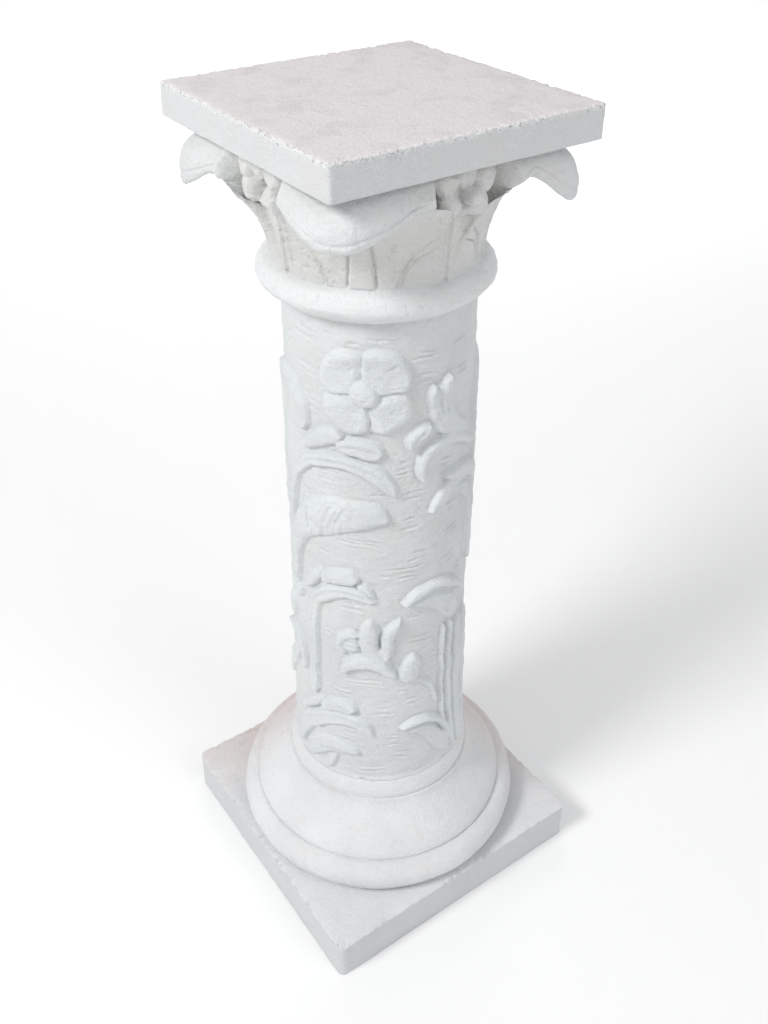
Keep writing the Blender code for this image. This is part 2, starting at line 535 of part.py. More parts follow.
def make_capital(finish):
    """Ring, bell, corner leaves and side flowers as one skin, joined to the square top slab."""
    angle = np.linspace(0.0, 360.0, CAPITAL_COLUMNS, endpoint=False)
    side_offset = (angle + 45.0) % 90.0 - 45.0
    corner_offset = 45.0 - np.abs(side_offset)
    lip_radius, lip_height = leaf_sections(angle)
    blade_radius, blade_height = blade_sections(lip_radius[0], lip_height[0])
    leaf_radius = np.vstack([blade_radius, lip_radius])
    leaf_height = np.vstack([blade_height, lip_height])

    # the bell between the leaves, on evenly spaced rows
    count = len(leaf_radius)
    share = np.linspace(0.0, 1.0, count)[:, None]
    top = leaf_height[-1].max()
    bell_height = BELL_FOOT + (top - BELL_FOOT) * share + 0.0 * angle
    bell_radius = BELL_RADIUS + BELL_FLARE * share**BELL_FLARE_POWER + 0.0 * angle

    # where the leaf ends, at each row: right beside the next leaf at the ring, and well apart at the slab
    row = np.arange(count)[:, None]
    blade_share = np.clip(row / BLADE_ROWS, 0.0, 1.0)
    leaf_edge = LEAF_FOOT_ANGLE - (LEAF_FOOT_ANGLE - LEAF_TOP_ANGLE) * blade_share**LEAF_TAPER_POWER
    leaf_edge = leaf_edge - (LEAF_TOP_ANGLE - LEAF_HALF_ANGLE) * smooth((row - BLADE_ROWS) / (2 * LIP_STEPS))
    on_leaf = smooth((leaf_edge - corner_offset[None, :]) / LEAF_EDGE_WIDTH + 0.5)
    radius = bell_radius + (leaf_radius - bell_radius) * on_leaf
    height = bell_height + (leaf_height - bell_height) * on_leaf
    radius = np.maximum(radius, flower_front(side_offset[None, :], height))

    # raised rib up the middle of each blade, half a width wide on each side and thinner towards the lip
    sideways = leaf_radius * np.sin(np.radians(corner_offset))[None, :]
    rib_width = 0.5 * MIDRIB_WIDTH * (1.1 - 0.4 * blade_share)
    on_blade = row < BLADE_ROWS
    radius = radius + MIDRIB_HEIGHT * on_blade * smooth(1.5 - sideways / rib_width)

    ring = ring_profile()
    radius = np.vstack([ring[:, :1] + 0.0 * angle, radius])
    height = np.vstack([ring[:, 1:] + 0.0 * angle, height])
    rows = ring_points(radius, angle + LEAF_TURN + 0.0 * radius, height)
    leaves = new_object("leaves", closed_grid("leaves", rows))
    leaves.location[:2] = (CAPITAL_OFFSET_X, CAPITAL_OFFSET_Y)
    thin_to(leaves, CAPITAL_TRIANGLES)
    slab_top = SLAB_FOOT + SLAB_THICKNESS
    slab = slab_mesh("capital", SLAB_SIDE, SLAB_FOOT, slab_top, SLAB_CORNER, SLAB_ARRIS)
    capital = new_object("capital", slab, finish)
    capital.location[:2] = (CAPITAL_OFFSET_X, CAPITAL_OFFSET_Y)
    union(capital, leaves)
    return capital


def main():
    for old in list(bpy.data.objects):
        bpy.data.objects.remove(old)
    make_base(material("painted_plaster_base", (0.76, 0.79, 0.82), 0.75))
    make_shaft(material("painted_plaster_shaft", (0.67, 0.69, 0.70), 0.70))
    make_capital(material("painted_plaster_capital", (0.74, 0.73, 0.71), 0.75))


main()
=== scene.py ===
"""Looks of the decorative column: carved and brush-painted cast plaster, on a pale floor in soft light."""

import math

import bpy
import numpy as np
from mathutils import Matrix, Vector


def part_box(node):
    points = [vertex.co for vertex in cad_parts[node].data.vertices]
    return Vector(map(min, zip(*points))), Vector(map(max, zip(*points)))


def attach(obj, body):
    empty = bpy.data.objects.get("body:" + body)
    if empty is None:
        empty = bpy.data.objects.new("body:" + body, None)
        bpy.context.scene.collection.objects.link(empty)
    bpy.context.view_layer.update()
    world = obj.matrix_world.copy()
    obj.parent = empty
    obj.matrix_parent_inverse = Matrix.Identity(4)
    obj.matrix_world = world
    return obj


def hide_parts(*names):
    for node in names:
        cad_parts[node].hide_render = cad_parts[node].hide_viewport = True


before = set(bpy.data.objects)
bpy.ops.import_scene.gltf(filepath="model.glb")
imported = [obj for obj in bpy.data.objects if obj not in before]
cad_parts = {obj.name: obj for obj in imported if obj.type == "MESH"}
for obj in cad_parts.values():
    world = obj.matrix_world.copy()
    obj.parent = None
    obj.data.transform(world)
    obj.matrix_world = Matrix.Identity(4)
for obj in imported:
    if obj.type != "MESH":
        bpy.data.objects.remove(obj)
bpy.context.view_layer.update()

# Sizes shared with the solids, in metres. Heights come from the frame.
PLINTH_SIDE = 0.2890
PLINTH_HEIGHT = 0.0418
PLINTH_CORNER = 0.0070
TORUS_SETBACK = 0.0007
TORUS_HEIGHT = 0.0340
NECK_SETBACK = 0.0153
NECK_HEIGHT = 0.0440
COLLAR_PROUD = 0.0023
COLLAR_SLOPE = 0.0052
COLLAR_STEP = 0.0022
SHAFT_FOOT_RADIUS = 0.0843
SHAFT_TOP_RADIUS = 0.0815
RELIEF_HEIGHT = 0.0050
CAPITAL_OFFSET = np.array([-0.0024, 0.0017, 0.0])
RING_HEIGHT = 0.0290
RING_DEPTH = 0.0167
RING_SEAT = 0.0015
RING_DROOP = 4.0 / 3.0
BELL_PROUD = 0.0055
BELL_FLARE = 0.0210
LEAF_REACH = 0.0712
LEAF_TURN = 3.0
LEAF_FOOT_ANGLE = 44.0
LEAF_TOP_ANGLE = 35.0
LEAF_HALF_ANGLE = 27.0
LIP_DROP = 0.0515
LIP_DROP_SHARES = (1.0, 1.0, 0.80, 1.0)
HOOKED_LEAF = 3
LIP_HALF_ANGLES = (22.0, 20.0, 27.0, 15.0)
LIP_FLAT_ANGLES = (1.0, 1.0, 1.0, 0.0)
LIP_SKEWS = (0.0, 0.0, 3.0, 0.0)
MIDRIB_HALF_WIDTH = 0.0099
MIDRIB_HEIGHT = 0.0013
LEAF_EDGE_WIDTH = 4.0
FLOWER_RADIUS = 0.0285
FLOWER_SETBACK = 0.0111
FLOWER_RISE = 0.0755
PETAL_DEPTH = 0.0110
BEAD_RADIUS = 0.0073
BEAD_PROUD = 0.35
SLAB_SIDE = 0.2452
SLAB_THICKNESS = 0.0275
SLAB_CORNER = 0.0030

SHAFT_LOW, SHAFT_HIGH = (corner[2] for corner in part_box("shaft"))
BASE_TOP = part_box("base")[1][2]
CAPITAL_FOOT, SLAB_TOP = (corner[2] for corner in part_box("capital"))
BELL_FOOT = CAPITAL_FOOT + RING_HEIGHT
SLAB_FOOT = SLAB_TOP - SLAB_THICKNESS
COLLAR_TOP_RADIUS = SHAFT_FOOT_RADIUS + COLLAR_PROUD
COLLAR_RADIUS = COLLAR_TOP_RADIUS + COLLAR_SLOPE
TORUS_RADIUS = PLINTH_SIDE / 2 - TORUS_SETBACK
BELL_RADIUS = SHAFT_TOP_RADIUS + BELL_PROUD
FLOWER_FRONT = SLAB_SIDE / 2 - FLOWER_SETBACK

# How finely each skin is worked out, and how many triangles a finished piece may keep
SHAFT_COLUMNS = 680
SHAFT_ROWS = 640
LEAF_COLUMNS = 720
BLADE_ROWS = 84
LIP_STEPS = 8
RING_STEPS = 30
SLAB_COLUMNS = 880
TURNED_COLUMNS = 440
PIECE_TRIANGLES = 190000
LEAVES_TRIANGLES = 92000

# The carving's drawing sheet: 505 mm up the shaft and half a turn across, repeated once round the back
SHEET_LENGTH = 505.0
SHEET_MM_PER_DEGREE = 1.45
SHEET_MIDDLE = -125.25
SHEET_TURN = 180.0


# Noise and small shaping helpers


def smooth(share):
    """A soft step from 0 to 1: three squares less two cubes."""
    share = np.clip(share, 0.0, 1.0)
    return share * share * (3.0 - 2.0 * share)


def lattice(x, y, z, seed):
    """A repeatable number from -1 to 1 at each whole-numbered point, by mixing the bits of its place."""
    mixed = x * 374761393 + y * 668265263 + z * 2147483647 + seed * 974634777
    mixed = (mixed ^ (mixed >> 13)) * 1274126177
    mixed = mixed ^ (mixed >> 16)
    return (mixed & 0xFFFFF) / 524288.0 - 1.0


def noise(points, size, seed):
    """Smooth noise from -1 to 1 with lumps of this size: the eight corners of each cell, softly blended."""
    place = points / size + 1000.0
    cell = np.floor(place).astype(np.int64)
    part = smooth(place - cell)
    x, y, z = cell[..., 0], cell[..., 1], cell[..., 2]
    u, v, w = part[..., 0], part[..., 1], part[..., 2]
    total = 0.0
    for i in (0, 1):
        for j in (0, 1):
            for k in (0, 1):
                weight = (u if i else 1.0 - u) * (v if j else 1.0 - v) * (w if k else 1.0 - w)
                total = total + weight * lattice(x + i, y + j, z + k, seed)
    return total


def rough(points, size, seed, layers=3):
    """Several layers of noise, each half the size and half the height of the one before."""
    return sum(noise(points, size / 2**layer, seed + layer) / 2**layer for layer in range(layers))


def swell(offset, width):
    """A soft ridge: a bell curve that falls from 1 to about a third at this width from its middle."""
    return np.exp(-((offset / width) ** 2))


def dome(share, power=2.0):
    """A rounded top: the square root of one less a power of the share of the way out, and 0 past the rim."""
    return np.sqrt(np.clip(1.0 - share**power, 0.0, 1.0))


def holes(points, size, seed, level, edge=0.2):
    """Where small holes lie, from 0 to 1: the peaks of fine noise above a level, with an edge this soft."""
    return smooth((noise(points, size, seed) - level) / edge)


def curve_through(points, steps):
    """A smooth curve through the points, with this many steps between each two: a cubic whose slope at each
    point is half the step between that point's neighbours."""
    points = np.array(points, float)
    points = np.vstack([2 * points[0] - points[1], points, 2 * points[-1] - points[-2]])
    before, here, there, after = (points[k : len(points) - 3 + k, None, :] for k in range(4))
    share = (np.arange(steps) / steps)[None, :, None]
    curve = 0.5 * (
        2 * here
        + (there - before) * share
        + (2 * before - 5 * here + 4 * there - after) * share**2
        + (3 * here - before - 3 * there + after) * share**3
    )
    return np.vstack([curve.reshape(-1, points.shape[-1]), points[-2]])


def arc(middle, half_width, half_height, start, end, steps):
    """Points along an oval arc between two angles in degrees, as (radius, height)."""
    turn = np.radians(np.linspace(start, end, steps))
    return np.stack([middle[0] + half_width * np.cos(turn), middle[1] + half_height * np.sin(turn)], axis=-1)


def ring_points(radius, angle, height):
    """Points round the axis, from radius, angle in degrees and height arrays of one shape."""
    turn = np.radians(angle)
    return np.stack([radius * np.cos(turn), radius * np.sin(turn), height], axis=-1)


def outward(rows):
    """Unit normals of a closed grid of rings: the cross product of its steps round and up."""
    around = np.roll(rows, -1, axis=1) - np.roll(rows, 1, axis=1)
    up = np.gradient(rows, axis=0)
    normal = np.cross(around, up)
    return normal / np.maximum(np.linalg.norm(normal, axis=-1, keepdims=True), 1e-12)


def spread(values, reach):
    """Mean over a square of cells, closed round the axis and held at the two ends."""
    padded = np.pad(values, ((reach, reach), (0, 0)), mode="edge")
    rows = sum(padded[shift : shift + len(values)] for shift in range(2 * reach + 1))
    return sum(np.roll(rows, shift, axis=1) for shift in range(-reach, reach + 1)) / (2 * reach + 1) ** 2


def closed_grid(name, rows):
    """A closed skin over rings of points, from the lowest ring up, with a point in the middle of each end."""
    count, columns = rows.shape[:2]
    points = np.vstack([rows.reshape(-1, 3), rows[0].mean(axis=0), rows[-1].mean(axis=0)])
    here = np.arange(columns)
    there = np.roll(here, -1)
    starts = (np.arange(count - 1) * columns)[:, None]
    over = starts + columns
    quads = np.stack([starts + here, starts + there, over + there, over + here], axis=-1)
    last = (count - 1) * columns
    under = np.stack([there, here, np.full(columns, count * columns)], axis=-1)
    top = np.stack([last + here, last + there, np.full(columns, count * columns + 1)], axis=-1)
    corners = np.concatenate([quads.ravel(), under.ravel(), top.ravel()]).astype(np.int32)
    sizes = np.concatenate([np.full(quads.size // 4, 4), np.full(2 * columns, 3)])
    mesh = bpy.data.meshes.new(name)
    mesh.vertices.add(len(points))
    mesh.vertices.foreach_set("co", points.astype(np.float32).ravel())
    mesh.loops.add(len(corners))
    mesh.loops.foreach_set("vertex_index", corners)
    mesh.polygons.add(len(sizes))
    mesh.polygons.foreach_set("loop_start", (np.cumsum(sizes) - sizes).astype(np.int32))
    mesh.polygons.foreach_set("loop_total", sizes.astype(np.int32))
    mesh.update(calc_edges=True)
    mesh.validate()
    return mesh


def new_object(name, mesh):
    """Put a mesh in the scene."""
    made = bpy.data.objects.new(name, mesh)
    bpy.context.scene.collection.objects.link(made)
    return made


def apply_modifiers(piece):
    """Make what a piece's modifiers give its own mesh."""
    graph = bpy.context.evaluated_depsgraph_get()
    mesh = bpy.data.meshes.new_from_object(piece.evaluated_get(graph))
    piece.modifiers.clear()
    piece.data = mesh


def thin_to(piece, triangles):
    """Merge edges where the surface is flattest until no more than this many triangles are left."""
    full = sum(len(face.vertices) - 2 for face in piece.data.polygons)
    if full > triangles:
        piece.modifiers.new("thin", "DECIMATE").ratio = triangles / full
        apply_modifiers(piece)


def settle(piece, finish, crease=50.0):
    """Apply a piece's modifiers, thin it to its share of triangles, and give it its finish."""
    apply_modifiers(piece)
    thin_to(piece, PIECE_TRIANGLES)
    piece.data.materials.clear()
    piece.data.materials.append(finish)
    piece.data.shade_smooth()
    piece.data.set_sharp_from_angle(angle=math.radians(crease))


def union(piece, other):
    """Join a second closed skin to a piece."""
    join = piece.modifiers.new("join", "BOOLEAN")
    join.operation = "UNION"
    join.solver = "MANIFOLD"
    join.object = other


# Carving on the shaft. Each band is a leaf or a stem: its rise as a share of the relief, the depth of the
# groove along its middle, the kind of surface it has, and its middle line as (degrees across, millimetres up,
# half width in millimetres).
BANDS = (
    # upper arch that springs from the left and bends over to the right
    (1.0, 0.35, "plain", ((-64, 262, 4), (-64.5, 290, 4.5), (-62, 318, 5), (-58, 340, 5), (-53, 351, 5),
        (-46, 363, 6), (-37, 370, 6.5), (-28, 373, 6.5), (-18, 373, 6.5), (-10, 370, 7.5), (-2, 364, 8.5),
        (4, 355, 7), (8.5, 344, 3.5))),
    # two lobes that lie on the upper arch
    (1.0, 0.0, "plain", ((-50, 377, 3), (-42, 385, 6.5), (-34, 393, 8), (-27, 397, 7), (-22, 399, 3))),
    (1.2, 0.35, "plain", ((-24, 390, 5), (-15, 390, 9), (-5, 388, 9.5), (0, 386, 8))),
    # arching leaf of the plant on the left
    (0.9, 0.35, "plain", ((-50, 390, 1), (-47, 401, 5), (-49, 413, 7), (-54, 424, 7.5), (-61, 432, 7),
        (-70, 434, 6.5), (-81, 432, 6), (-92, 420, 6), (-98, 398, 6), (-99, 340, 6), (-99, 270, 6))),
    # long feathered tail
    (1.2, 0.0, "feather", ((5, 318, 3), (-1, 322, 10), (-8, 322, 14), (-15, 320, 16), (-25, 317, 18),
        (-35, 311, 19), (-45, 301, 17), (-53, 288, 13), (-57, 272, 9.5), (-60, 250, 7), (-61.5, 225, 5.5),
        (-62, 205, 4))),
    # bud with two points and its stem
    (1.0, 0.0, "veined", ((36, 428, 9), (38, 418, 12.5), (41, 407, 12.5), (46, 399, 11), (54, 391, 9),
        (62, 384, 6))),
    (1.2, 0.0, "plain", ((43, 448, 4), (42, 438, 7.5), (40, 424, 9))),
    (1.1, 0.0, "plain", ((32, 442, 4.5), (32.5, 434, 7), (35, 422, 8.5))),
    # small curled leaf and the scroll under the bud
    (1.3, 0.0, "plain", ((29, 407, 5), (24, 402, 6.5), (19, 396, 6), (17, 389, 3.5))),
    (1.3, 0.0, "plain", ((25, 356, 3), (25, 368, 4.2), (27, 378, 5), (33, 385, 5.6), (42, 387, 5.2),
        (52, 383, 5), (60, 377, 5), (68, 368, 4))),
    # leaf on the right, the arch under it and the leaf on its shoulder
    (1.0, 0.0, "plain", ((32, 318, 2), (37, 326, 4.5), (43, 335, 6), (51, 340, 6), (60, 339, 6),
        (70, 333, 6), (80, 322, 5))),
    (1.0, 0.35, "plain", ((38, 322, 1.5), (46, 328, 5), (54, 329, 6), (61, 322, 6.5), (67, 310, 6.5),
        (71, 290, 6.5), (72, 260, 6), (72, 235, 6))),
    (1.1, 0.0, "plain", ((40, 352, 2), (48, 348, 5), (58, 346, 7), (68, 340, 7), (78, 330, 6))),
    # lobes and the arch of the middle plant
    (1.0, 0.0, "plain", ((-48, 224, 2.5), (-44, 236, 5.5), (-40, 246, 6.5), (-37, 253, 5))),
    (1.2, 0.0, "plain", ((-35, 243, 4), (-30, 249, 8), (-22, 252, 9), (-14, 253, 8))),
    (0.9, 0.0, "plain", ((-12, 246, 4), (-6, 241, 4), (-2, 233, 1.5))),
    (1.0, 0.35, "plain", ((-45, 98, 5.5), (-44.5, 140, 6), (-45, 180, 6), (-43, 208, 6.5), (-37, 223, 7),
        (-29, 232, 7), (-20, 236, 6.5), (-11, 235, 6), (-5, 230, 3.5), (-1, 227.5, 1))),
    # broad leaf on the right of the middle plant, in two folds
    (1.3, 0.0, "plain", ((15, 224, 2.5), (22, 230, 4.4), (31, 235, 4.6), (40, 235, 4.6), (48, 230, 4.4),
        (55, 223, 4), (59, 213, 3.2))),
    (0.9, 0.0, "veined", ((18, 222, 1.5), (28, 221, 5), (36, 217, 8.5), (44, 210, 11), (50, 200, 12),
        (54, 188, 10))),
    # bundle of stems down to the foot
    (0.9, 0.0, "rope", ((44.5, 180, 2.5), (44.5, 130, 2.5), (45.5, 85, 2.5), (49, 45, 2.5), (54, 4, 2.5))),
    (1.0, 0.0, "plain", ((50.5, 180, 4.5), (50.5, 130, 4.5), (51.5, 85, 4.5), (55, 45, 4.5),
        (60, 4, 4.5))),
    (1.1, 0.0, "veined", ((59.5, 178, 7.5), (60, 130, 7.5), (61, 85, 7.5), (64, 45, 7), (69, 4, 7))),
    (0.9, 0.0, "veined", ((70.5, 176, 6), (71, 130, 6), (72, 85, 6), (75, 45, 6), (80, 4, 6.5))),
    # lily: two upright petals, the looped one, the broad lower one, the right lobe and the stem
    (1.1, 0.0, "plain", ((-4, 205, 4), (-5, 196, 7.5), (-6, 182, 8.5), (-4, 168, 8), (1, 156, 7),
        (6, 147, 5))),
    (1.2, 0.0, "plain", ((12.5, 206, 2), (8.5, 198, 5.5), (6.5, 186, 6.5), (5.5, 172, 5.5),
        (4.5, 162, 4))),
    (0.9, 0.0, "plain", ((-12, 187, 3.5), (-18, 187, 4.5), (-24, 180, 4.5), (-25.5, 170, 3.5),
        (-21, 163, 2.5))),
    (1.3, 0.0, "plain", ((-22.5, 140, 2.5), (-19, 149, 5.5), (-13, 155, 7.5), (-6, 157, 8), (1, 152, 7),
        (7, 145, 4.5), (11, 139, 2))),
    (1.2, 0.0, "plain", ((23, 160, 4), (22, 150, 9.5), (20, 141, 11), (17, 134, 8))),
    (0.6, 0.0, "plain", ((14, 131, 1.5), (22, 129, 2.5), (29, 125, 3), (34, 116, 3), (38, 104, 2.5),
        (42, 85, 1.5))),
    # lobes, the arch, the leaf and the stalk of the lowest plant on the left
    (1.0, 0.0, "plain", ((-58, 64, 2.5), (-50, 77, 6), (-43, 87, 6), (-39, 93, 4))),
    (1.2, 0.0, "plain", ((-38, 84, 4), (-32, 91, 7.5), (-24, 95, 8.5), (-16, 95, 8))),
    (1.0, 0.35, "veined", ((-64, 10, 6), (-58, 36, 9), (-50, 54, 9.5), (-41, 66, 9.5), (-32, 74, 9.5),
        (-23, 78, 9), (-14, 76, 8), (-8, 70, 5.5), (-3, 62, 2.5))),
    (0.85, 0.0, "veined", ((-53, 7, 7), (-47, 21, 10.5), (-39, 32, 10.5), (-30, 37, 9), (-20, 37, 6.5),
        (-12, 36, 2))),
    (0.7, 0.0, "plain", ((-28, 26, 3), (-32, 15, 4.5), (-37, 3, 5))),
    # lowest leaf on the right, in two folds
    (1.2, 0.0, "plain", ((15, 69, 2), (21, 73, 3.8), (29, 75, 4), (36, 71, 4), (43, 62, 3.8), (48, 50, 3.6),
        (53, 34, 3.4), (58, 14, 3))),
    (0.9, 0.0, "veined", ((17, 66, 1.5), (27, 62, 5), (34, 54, 7.5), (40, 42, 8), (46, 27, 8),
        (53, 10, 7))),
    # curl and broad leaf at the left
    (0.9, 0.0, "plain", ((-78, 152, 3.5), (-68, 153, 4), (-61, 147, 4.5), (-56, 136, 4.5), (-55, 123, 4),
        (-59, 115, 3))),
    (0.8, 0.0, "veined", ((-88, 70, 5), (-80, 95, 8), (-71, 118, 9), (-64, 131, 5))),
)

# Each mound is a rounded boss: its height as a share of the relief, its middle and its two half widths.
MOUNDS = (
    (1.0, (-60, 210), (9, 9)),
    (0.9, (-70, 182), (8, 16)),
    (0.8, (0, 166), (9, 8)),
    (0.55, (-18, 175), (9.5, 11)),
    (1.0, (37.5, 427), (10, 14)),
)

# Large flower round a bead. Each petal: middle and half width in degrees, whether its first and last side lie
# over the neighbour there, and how deeply it is dished.
BLOOM_MIDDLE = (-8, 442)
BLOOM_RADIUS = 44.0
BLOOM_NOTCH = 0.76
BLOOM_BEAD = 11.6
BLOOM_PETALS = (
    (48.0, 48.0, True, True, 0.34),
    (138.0, 47.0, False, True, 0.36),
    (231.0, 46.0, False, True, 0.10),
    (320.0, 44.0, False, False, 0.10),
)

# Fine ridges on the petals: middle lines as (degrees across, millimetres up, half width in millimetres)
FOLDS = (
    ((-3, 462, 2), (3, 469, 2)),
    ((-1, 460, 2), (4, 466, 2), (9, 471, 2)),
    ((5, 449, 2), (12, 450, 2.5), (19, 449, 2)),
    ((7, 444, 2), (13, 445, 2.5), (18, 444, 2)),
    ((-36, 458, 2), (-30, 447, 2.5), (-22, 442, 2)),
    ((-33, 434, 2), (-25, 437, 2)),
    ((-33, 424, 2), (-27, 428, 2.5), (-20, 433, 2)),
    ((-13, 404, 2), (-11, 412, 2.5), (-10, 424, 2)),
    ((-5, 405, 2), (-4, 415, 2.5), (-5, 426, 2)),
    ((1, 440, 2), (10, 439, 2.5), (18, 434, 2)),
    ((3, 436, 2), (10, 428, 2.5), (18, 420, 2)),
    ((3, 402, 2), (2, 412, 2.5), (0, 424, 2)),
)

# Grooves cut into raised leaves: middle lines as above
GROOVES = (
    ((4, 196, 1.6), (4, 184, 1.8), (4, 171, 1.6)),
    ((7, 176, 1.4), (7, 165, 1.4)),
    ((-21, 178, 1.4), (-16, 177, 1.5), (-12, 177, 1.3)),
    ((-21, 172, 1.4), (-16, 172, 1.5), (-12, 171, 1.3)),
    ((-20, 167, 1.4), (-16, 167, 1.5), (-12, 166, 1.3)),
    ((17, 155, 1.2), (22, 153, 1.4), (26, 147, 1.4), (26, 139, 1.2)),
    ((15, 150, 1.2), (20, 149, 1.4), (23, 144, 1.4), (22, 137, 1.2)),
    ((26, 405, 1.3), (21, 398, 1.6), (18, 390, 1.3)),
    ((35, 433, 1.4), (37, 422, 1.6), (39, 412, 1.4)),
    ((40, 433, 1.4), (41, 422, 1.6), (43, 412, 1.4)),
)

# Patches full of small air holes: middle across and up, and reach in millimetres
PITS = (
    (-14, 466, 12), (-8, 442, 12), (46, 205, 14), (-57, 400, 9), (-28, 385, 10), (18, 150, 8), (-50, 60, 9),
)

# Bark strokes cut in short groups: start and end in degrees across, rise from start to end in millimetres,
# and the height of each stroke
STROKES = (
    (-60, -38, 0, (488, 481)), (-15, 22, 0, (490,)), (-22, -8, 0, (485,)), (18, 38, 0, (475, 471)),
    (40, 65, 7, (474,)), (-56, -40, 0, (456, 450)), (20, 36, 0, (455, 448)), (50, 65, 0, (451, 444)),
    (-45, -38, 0, (424, 418)), (10, 19, 0, (373, 367, 364)), (-42, -22, 0, (360, 351)),
    (33, 50, 0, (368, 362)), (-56, -42, 0, (338, 331, 326)), (12, 30, 3, (343, 337)), (-7, 5, 0, (344,)),
    (12, 28, 0, (315, 307)), (45, 55, 0, (317, 309)), (43, 60, 0, (290, 284)), (-30, 8, -6, (294, 290)),
    (-45, -28, 0, (280, 272)), (16, 32, 0, (278, 271)), (35, 40, 0, (279,)), (3, 36, 2, (263,)),
    (-2, 12, 0, (256,)), (8, 30, 0, (257, 252)), (40, 58, 3, (263, 256)), (52, 65, 0, (240, 234)),
    (-25, -5, 0, (223, 216)), (18, 26, 0, (212, 208, 205)), (-38, -28, 0, (185, 178)),
    (16, 35, 0, (180, 174)), (33, 42, 0, (155, 147)), (-22, 6, 0, (132, 127)),
    (-37, -16, 0, (117, 111, 107)), (10, 20, 0, (122, 117)), (14, 30, 0, (103, 97)), (-5, 12, 0, (97, 90)),
    (-28, -12, 0, (67, 60, 55, 48)), (5, 16, 0, (60, 55, 47)), (8, 28, -6, (34, 28)),
    (-20, 10, 0, (18, 12)), (80, 96, 0, (470, 464)), (86, 102, 0, (430, 424)), (82, 97, 0, (392, 387)),
    (88, 104, 0, (352, 346)), (78, 92, 0, (312, 305)), (80, 96, 0, (262, 256)), (84, 100, 0, (212, 206)),
    (88, 103, 0, (172, 165)), (84, 97, 0, (60, 54)),
)

# How a line is drawn: steps between its points, least half width and length of its tips in millimetres, and
# the tips' width as a share of the line's
LINE_STEPS = 6
LEAST_WIDTH = 0.5
TIP_LENGTH = 6.0
TIP_WIDTH = 0.45

# A band's surface. Heights and depths are shares of the band's rise. The groove's width and the side veins'
# places are shares of the half width, the side veins' width and the rope's turn millimetres. Hairs have two
# sizes, of which the finer is fainter, are drawn out by a stretch, and begin and are full at two lengths in
# millimetres.
BAND_ROUNDING = 2.8
GROOVE_SHARE = 0.8
GROOVE_WIDTH = 0.34
SIDE_VEINS = (-0.38, 0.38)
SIDE_VEIN_DEPTH = 0.16
SIDE_VEIN_WIDTH = 0.9
ROPE_DEPTH = 0.10
ROPE_TURN = 5.5
ROPE_SLANT = 0.4
HAIR_DEPTH = 0.19
HAIR_BED = 0.92
HAIR_SIZES = (1.9, 1.1)
HAIR_FINE_SHARE = 0.6
HAIR_SLANT = 0.8
HAIR_STRETCH = 7.0
HAIR_START = (10.0, 50.0)

# Fine lines: width as a share of the half width, and heights of the folds and depth of the grooves
LINE_WIDTH = 1.0 / 1.9
FOLD_RISE = 0.15
GROOVE_RISE = -0.30

# The large flower: height, how steep its rim is, how full its petals' arcs are, rolled edge and dish as
# (place, width) in shares of the petal, the height that a petal keeps beside and under its neighbour with the
# width of that slope in millimetres, and the height of the bead's foot and its rise over that
BLOOM_RISE = 1.2
BLOOM_STEEPNESS = 7
BLOOM_BOW = 0.75
BLOOM_EDGE_RISE = 0.10
BLOOM_EDGE = (0.88, 0.07)
BLOOM_DISH = (0.60, 0.22)
BLOOM_BESIDE = (0.86, 1.6)
BLOOM_UNDER = (0.48, 9.0)
BLOOM_BEAD_BASE = 0.75
BLOOM_BEAD_RISE = 1.25

# A bark stroke: depth and width of its cut, height, width and drop of the lip under it, and where it starts
# to fade and over how much it does, as shares of its half length
STROKE_CUT = (0.24, 0.9)
STROKE_LIP = (0.14, 1.3, 2.0)
STROKE_FADE = (0.45, 0.6)
# How strokes differ: shift, and length with its change, as shares of the half length, each with its pace over
# the height; wave in millimetres with its pace in degrees; and how far the ends sag in millimetres
STROKE_SHIFT = (0.16, 2.3)
STROKE_LENGTH = (0.82, 0.26, 5.1)
STROKE_WAVE = (0.9, 5.0)
STROKE_SAG = 0.8
# How far from its group a stroke is worked out: share of the half length, and millimetres up or down
STROKE_NEAR = (1.15, 18.0)

# Air holes: size in metres, the level of noise above which they lie and how much the pitted patches lower it,
# and their depth in metres and how much more it is in the patches
HOLE_SIZE = 0.0030
HOLE_LEVEL = (0.66, 0.30)
HOLE_DEPTH = (0.0005, 0.0006)

# How the carving is softened: wavering of its lines in degrees and millimetres, unevenness of its height,
# and how much is taken from what lies low and added to what lies high
WAVER = (0.9, 1.3)
WAVER_SIZE = 0.018
UNEVEN = 0.10
UNEVEN_SIZE = 0.011
CRISP_LOW = 0.50
CRISP_HIGH = 0.14


def sheet_offset(across, middle):
    """Degrees from a middle line of the sheet, which repeats every half turn."""
    return (across - middle + SHEET_TURN / 2) % SHEET_TURN - SHEET_TURN / 2


